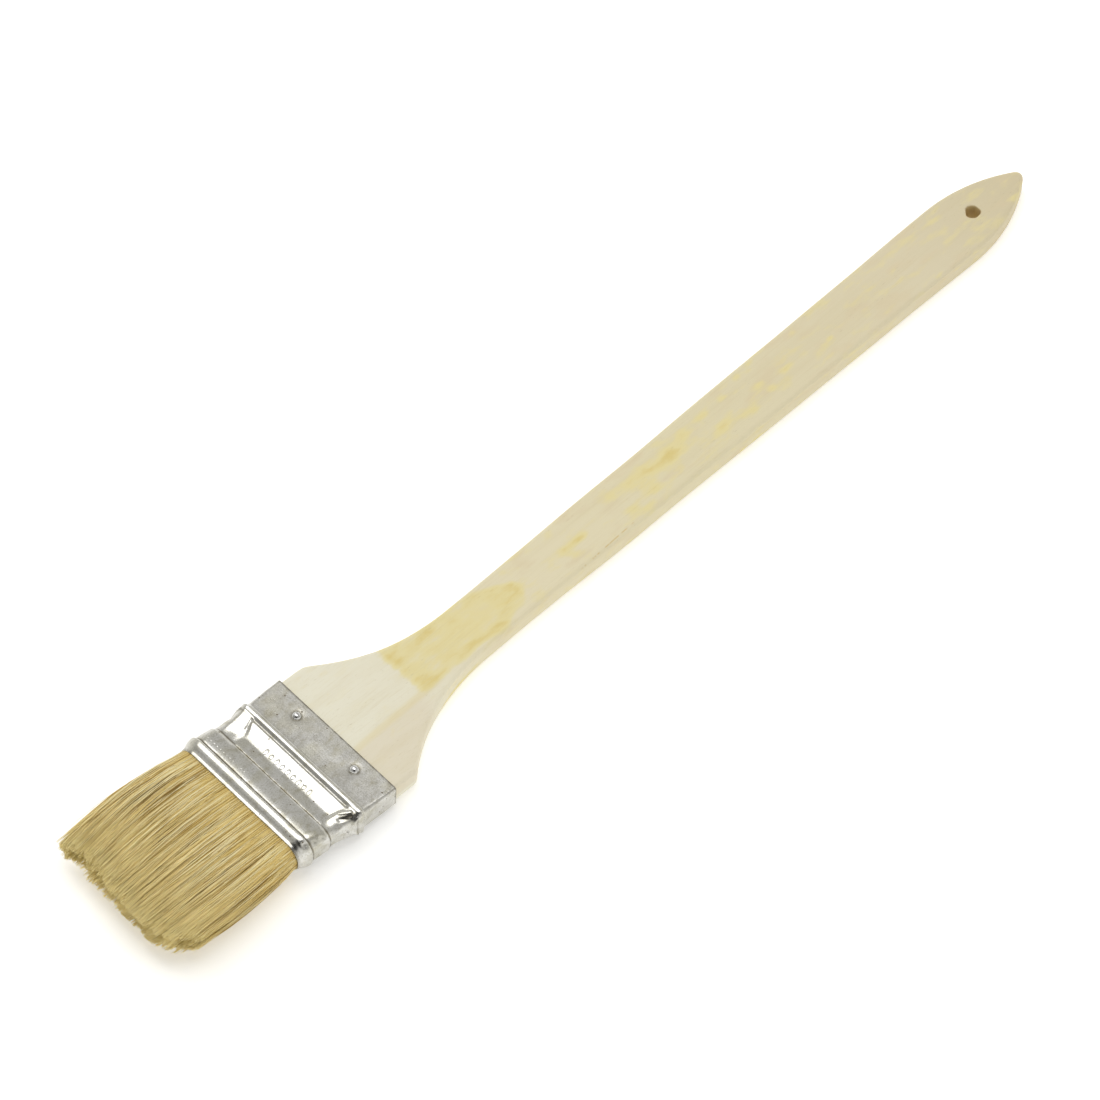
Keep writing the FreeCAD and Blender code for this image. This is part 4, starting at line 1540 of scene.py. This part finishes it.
        pull_tuft = (self.tuft_pull * ease(free, 0.02, 0.50)
                     - self.tip_release * ease(free, 0.60, 1.0))
        pull_lock = self.lock_pull * free ** 2
        share_across = across[:, None] + pull_tuft * (bundles.across[mine] - across)[:, None]
        share_across = share_across + pull_lock * (bundles.lock_middle - across)[:, None]
        share_up = up[:, None] + 0.5 * pull_tuft * (bundles.up[mine] - up)[:, None]
        y, z = self.envelope(at, share_across, share_up)
        wander = draw.normal(0, 0.22, (count, 1)) + 0.24 * np.sin(
            draw.uniform(2.0, 7.0, (count, 1)) * free + draw.uniform(0, math.tau, (count, 1)))
        own_lean = draw.standard_t(3, (count, 1)).clip(-4, 4) * 0.55
        leaning = (bundles.lean[mine][:, None] + own_lean) * free ** 1.3
        y = y + wander * ease(free, 0.0, 0.5) + leaning
        outward = np.sign(up)[:, None]
        inward = outward * bundles.sink[mine][:, None] * ease(free, 0.1, 0.9)
        lifted = outward * draw.exponential(0.16, (count, 1))
        lifted = lifted + self.light_lift * outward * light[:, None]
        z = z + inward + lifted * ease(free, 0.0, 0.5)
        stray = draw.random(count) < self.stray_share
        astray = (draw.normal(0, 1.6, count) * stray)[:, None]
        y = y + astray * free ** 1.5
        z = z + outward * np.abs(astray) * 0.35 * free ** 2
        y = y + flowing_curve(at, self.middle_knots)
        z = z + self.droop * free ** 2
        tone = 0.60 + 0.15 * draw.normal(0, 1, count) + 0.035 * bundles.tone[mine]
        tone = np.where(odd < self.dark_below, 0.05, np.where(light, 1.0, tone))
        tones = np.clip(np.stack([tone, 0.5 + 0.08 * bundles.tone[mine]], axis=-1), 0, 1)
        return np.stack([at, y, z], axis=-1), np.broadcast_to(share, at.shape), tones

    def build(self, part: Tuft, count: int, seed: int) -> bpy.types.Object:
        """Gives each path a three-sided skin that tapers to a point.

        A ring's corners stand round the path across the head, at the bristle's radius, and
        each bristle is turned by its own angle. The lightest bristles are stouter.

        Args:
            part: which part of the fill.
            count: how many bristles.
            seed: picks the random numbers.

        Returns:
            All the bristles of the part as one piece, with their tones.
        """
        draw = np.random.default_rng(seed + 100)
        path, share, tones = self.paths(part, count, seed)
        bristles, rings = path.shape[:2]
        stout = draw.normal(1.0, 0.16, (bristles, 1)).clip(0.6, 1.5)
        stout = stout * (1 + self.light_stouter * (tones[:, :1] > 0.99))
        radius = stout * (self.root_thick + (self.tip_thick - self.root_thick)
                          * ease(share, 0.45, 1.0))
        corners = np.arange(self.sides) * math.tau / self.sides
        spin = draw.uniform(0, math.tau, (bristles, 1, 1)) + corners
        ring = np.repeat(path[:, :, None, :], self.sides, axis=2)
        ring[..., 1] += radius[..., None] * np.cos(spin)
        ring[..., 2] += radius[..., None] * np.sin(spin)
        tip = path[:, -1] + (path[:, -1] - path[:, -2]) * 0.02
        each = rings * self.sides
        points = np.concatenate([ring.reshape(bristles, each, 3), tip[:, None]], axis=1)
        base = (np.arange(bristles) * (each + 1))[:, None, None]
        index = numbered(rings, self.sides)
        walls = (base + quads_between(index, close_columns=True)[None]).reshape(-1, 4)
        tips = (base + fan(index[-1], each)[None]).reshape(-1, 3)
        roots = base[:, 0] + index[0, ::-1][None]
        placed = HEAD.place(points[..., 0], points[..., 1], points[..., 2]).reshape(-1, 3)
        name = part.value.replace("bristles", "bristle_tufts")
        piece = mesh_object(name, placed, [walls, tips, roots], tidy=False)
        along = np.concatenate([np.repeat(share, self.sides, axis=1), np.ones((bristles, 1))],
                               axis=1)
        shades = np.ones((bristles, each + 1, 4))
        shades[..., 0] = tones[:, :1]
        shades[..., 1] = along
        shades[..., 2] = tones[:, 1:]
        tint(piece, "strand", shades)
        return piece

    def build_core(self) -> bpy.types.Object:
        """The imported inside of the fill, which closes the view between bristles.

        It is the fill's outline drawn in, with furrows along it, closed at both ends.

        Returns:
            The core, with the same kind of tones as the bristles.
        """
        at = steps_between((29.9, 4), (self.mouth_at, 34), (74.0, 4), (75.6, 0))
        ring = RingSteps(face=150, corner=12, side=6)
        share_wide, share_thick, turn = ring.walk()
        along = at[:, None]
        taper = 0.87 - 0.10 * ease(along, self.mouth_at, 60.0) - 0.28 * ease(along, 66.0, 77.0)
        half_wide = flowing_curve(along, self.width_knots) - 1.3 - 2.6 * ease(along, 64.0, 76.6)
        half_thick = flowing_curve(along, self.thick_knots) * taper
        rounding = np.minimum(flowing_curve(along, self.round_knots), half_thick * 0.9)
        across = share_wide * (half_wide - rounding) + rounding * np.cos(turn)
        furrow = 0.22 * waviness(31, 1.1, across) * ease(along, self.mouth_at, 48.0)
        height = share_thick * (half_thick - rounding) + (rounding + furrow) * np.sin(turn)
        reach = self.longest - self.mouth_at
        height = height + self.droop * np.clip((along - self.mouth_at) / reach, 0, 1) ** 2
        points = HEAD.place(along, across + flowing_curve(along, self.middle_knots), height)
        middle = flowing_curve(at[[0, -1]], self.middle_knots)
        ends = HEAD.place(at[[0, -1]], middle, np.zeros(2))
        piece = mesh_object("bristle_core", np.concatenate([points.reshape(-1, 3), ends]),
                            capped_tube(numbered(*points.shape[:2])))
        shades = np.ones((len(piece.data.vertices), 4))
        tone = 0.45 + 0.22 * waviness(32, 0.8, across) * np.ones_like(along)
        shades[:-2, 0] = np.clip(tone, 0, 1).ravel()
        towards_tip = 0.25 + 0.70 * ease(along, 45.0, 76.0)
        shades[:-2, 1] = np.broadcast_to(towards_tip, across.shape).ravel()
        shades[:, 2] = 0.5
        tint(piece, "strand", shades)
        return piece

    def bend_with_flex(self, piece: bpy.types.Object) -> None:
        """Bakes the piece's place into its mesh."""
        HEAD.spot(self.mouth_at, 0.0, 0.0)
        HEAD.spot(self.longest, 0.0, 0.0)
        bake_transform(piece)


# ------------------------------------------------------------------ studio

@dataclass
class Studio:
    """Pale floor, soft light and the camera.

    Sizes are in millimetres, but the soft box's place and size are in metres. The focal share
    is the focal length over the sensor's width.
    """

    aim: tuple[float, float, float] = (-6.84, 0.0, 0.0)
    distance: float = 1501.8
    heading_deg: float = 44.10
    elevation_deg: float = 58.08
    focal_share: float = 4.5957273
    aside: float = 16.98
    below: float = 7.31
    sensor: float = 36.0
    floor_height: float = -0.1
    floor_glow: float = 0.30
    horizon_glow: float = 0.95
    ceiling_glow: float = 0.60
    screen_way: tuple[float, float, float] = (0.83, -0.40, 0.39)
    camera_dark: tuple[float, float, float] = (0.87, 0.945, 0.06)
    screen_dark: tuple[float, float, float] = (0.80, 0.95, 0.62)
    overhead_watts: float = 14.2
    overhead_spot: tuple[float, float, float] = (-0.12, -0.45, 1.6)
    overhead_size: tuple[float, float] = (0.96, 1.9)
    floor_white: str = "FDFDFC"
    glow_white: str = "FFFFFF"
    backdrop_white: str = "FBFAF7"
    floor_half: float = 3000.0

    def camera_way(self) -> Vector:
        """Direction from the aim to the camera."""
        heading, elevation = math.radians(self.heading_deg), math.radians(self.elevation_deg)
        return Vector((math.sin(heading) * math.cos(elevation),
                       math.cos(heading) * math.cos(elevation), math.sin(elevation)))

    def add_camera(self) -> None:
        """Sets the camera above the bristle side, then swings it a little off the aim.

        It first looks straight at the aim, with no roll. The swing is about its own two axes,
        so the brush keeps its slant in the frame.
        """
        heading = math.radians(self.heading_deg)
        towards = self.camera_way()
        right = Vector((-math.cos(heading), math.sin(heading), 0.0))
        upward = towards.cross(right)
        spot = Vector(self.aim) + towards * self.distance
        look = Vector(self.aim) - right * self.aside - upward * self.below
        back = (spot - look).normalized()
        right = upward.cross(back).normalized()
        upward = back.cross(right)
        lens = bpy.data.cameras.new("camera")
        lens.sensor_width = self.sensor
        lens.lens = self.focal_share * self.sensor
        lens.clip_start = 0.05
        lens.clip_end = 20.0
        camera = bpy.data.objects.new("camera", lens)
        camera.location = spot * MM
        camera.rotation_euler = Matrix((right, upward, back)).transposed().to_euler()
        bpy.context.scene.collection.objects.link(camera)
        bpy.context.scene.camera = camera

    def add_floor(self) -> None:
        """A wide matt sheet, lit faintly from below, at the height that the brush lies on."""
        steps = 9
        line = np.linspace(-self.floor_half, self.floor_half, steps)
        x, y = np.meshgrid(line, line, indexing="ij")
        points = np.stack([x, y, np.full_like(x, self.floor_height)], axis=-1).reshape(-1, 3)
        faces = quads_between(numbered(steps, steps))[:, ::-1]
        floor = mesh_object("floor", points, [faces], tidy=False)
        material, _, shader = start_material("matt_white_acrylic")
        shader.inputs["Base Color"].default_value = linear(self.floor_white)
        shader.inputs["Roughness"].default_value = 0.9
        shader.inputs["Specular IOR Level"].default_value = 0.1
        shader.inputs["Emission Color"].default_value = linear(self.glow_white)
        shader.inputs["Emission Strength"].default_value = self.floor_glow
        floor.data.materials.append(material)

    def add_softbox(self) -> None:
        """A large soft box overhead, facing straight down, whose edge the metal shows."""
        lamp = bpy.data.lights.new("overhead_softbox", "AREA")
        lamp.shape = "RECTANGLE"
        lamp.size, lamp.size_y = self.overhead_size
        lamp.energy = self.overhead_watts
        light = bpy.data.objects.new("overhead_softbox", lamp)
        light.location = self.overhead_spot
        light.rotation_euler = Vector((0.0, 0.0, -1.0)).to_track_quat("-Z", "Y").to_euler()
        bpy.context.scene.collection.objects.link(light)

    def add_world(self) -> None:
        """Pale surroundings, brightest round the horizon, with the dark of the camera in them.

        The brightness falls smoothly from the horizon's to the ceiling's between two heights
        of the direction. It drops round one fixed direction, where the main camera stands,
        and, less, round that of a grey screen past the bristle. Each dark zone is given by
        the cosines at its outer and inner edge and by the share of light left in it.
        """
        world = bpy.data.worlds.new("pale_surroundings")
        world.use_nodes = True
        tree = world.node_tree
        backdrop = tree.nodes["Background"]
        backdrop.inputs["Color"].default_value = linear(self.backdrop_white)
        facing = add_node(tree, "ShaderNodeTexCoord").outputs["Generated"]
        axes = add_node(tree, "ShaderNodeSeparateXYZ", {0: facing})
        glow = remap(tree, axes.outputs["Z"], (0.30, 0.52), (self.horizon_glow, self.ceiling_glow))
        for towards, (outer, inner, left) in ((self.camera_way(), self.camera_dark),
                                              (self.screen_way, self.screen_dark)):
            near = add_node(tree, "ShaderNodeVectorMath", {0: facing, 1: tuple(towards)},
                            operation="DOT_PRODUCT")
            shade = remap(tree, near.outputs["Value"], (outer, inner), (1.0, left))
            glow = reckon(tree, "MULTIPLY", glow, shade)
        tree.links.new(glow, backdrop.inputs["Strength"])
        bpy.context.scene.world = world

    def build(self) -> None:
        """Makes the whole studio and keeps colours as they are, with no film look."""
        bpy.context.scene.view_settings.view_transform = "Standard"
        self.add_camera()
        self.add_floor()
        self.add_world()
        self.add_softbox()


# ------------------------------------------------------------------ the brush

BRISTLE_COUNTS = {Tuft.FRONT: 4200, Tuft.BACK: 4200, Tuft.LEFT_EDGE: 1800, Tuft.RIGHT_EDGE: 1800}
FIRST_SEED = 41
# How far the core is darkened, as painted shade between the bristles.
CORE_INSIDE_SHADE = 0.12


def report(piece: bpy.types.Object) -> None:
    """Logs a finished piece and its size."""
    triangles = sum(len(face.vertices) - 2 for face in piece.data.polygons)
    log.info("%s: %d triangles", piece.name, triangles)


def build_handle() -> None:
    """The wooden handle in its own finish."""
    piece = Handle().build()
    dress(piece, SandedWood().make())
    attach(piece, "handle")
    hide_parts("handle")
    report(piece)


def build_ferrule() -> None:
    """The ferrule, its pressed marks and its four nails."""
    ferrule = Ferrule()
    tinplate = DulledTinplate().make()
    for piece in (ferrule.build(), PressedMarks(ferrule).build()):
        dress(piece, tinplate)
        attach(piece, "handle")
        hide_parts("ferrule")
        report(piece)
    steel = BrightNailSteel().make()
    for face in ("front", "back"):
        for hand in ("left", "right"):
            node = "%s_%s_nail" % (face, hand)
            piece = Nail(node, face == "front", ferrule).build()
            dress(piece, steel)
            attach(piece, "handle")
            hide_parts(node)
            report(piece)


def build_bristle() -> None:
    """The tufts of each part of the fill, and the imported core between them."""
    bristle = Bristle()
    blond = BlondBristle().make("blond_bristle")
    for seed, (part, count) in enumerate(BRISTLE_COUNTS.items(), start=FIRST_SEED):
        piece = bristle.build(part, count, seed)
        dress(piece, blond)
        bristle.bend_with_flex(piece)
        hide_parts(part.value)
        report(piece)
    core = bristle.build_core()
    # The core is darkened as painted shade between the bristles.
    dress(core, BlondBristle().make("packed_bristle_inside_shade", depth=CORE_INSIDE_SHADE))
    bristle.bend_with_flex(core)
    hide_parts(Tuft.FRONT.value, Tuft.BACK.value)
    report(core)


def dress_hidden_pieces() -> None:
    """Finishes for what the ferrule hides."""
    finishes = {
        "resin_setting": HiddenFill("cast_resin", "9A7440", "6E4F26", (3.0, 3.0, 3.0), 0.25),
        "bristle_heel": HiddenFill("set_bristle", "C9AE6C", "8F7440", (30.0, 0.3, 0.3), 0.55),
        "spacer_plug": HiddenFill("sawn_strip", "D3B98A", "B3935E", (12.0, 0.6, 0.6), 0.7),
    }
    for node, finish in finishes.items():
        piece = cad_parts[node]
        piece.data.materials.clear()
        piece.data.materials.append(finish.make())


def main() -> None:
    """Builds the studio and every piece of the brush, in order."""
    logging.basicConfig(level=logging.INFO, format="%(message)s")
    Studio().build()
    build_handle()
    build_ferrule()
    build_bristle()
    dress_hidden_pieces()


if __name__ == "__main__":
    main()
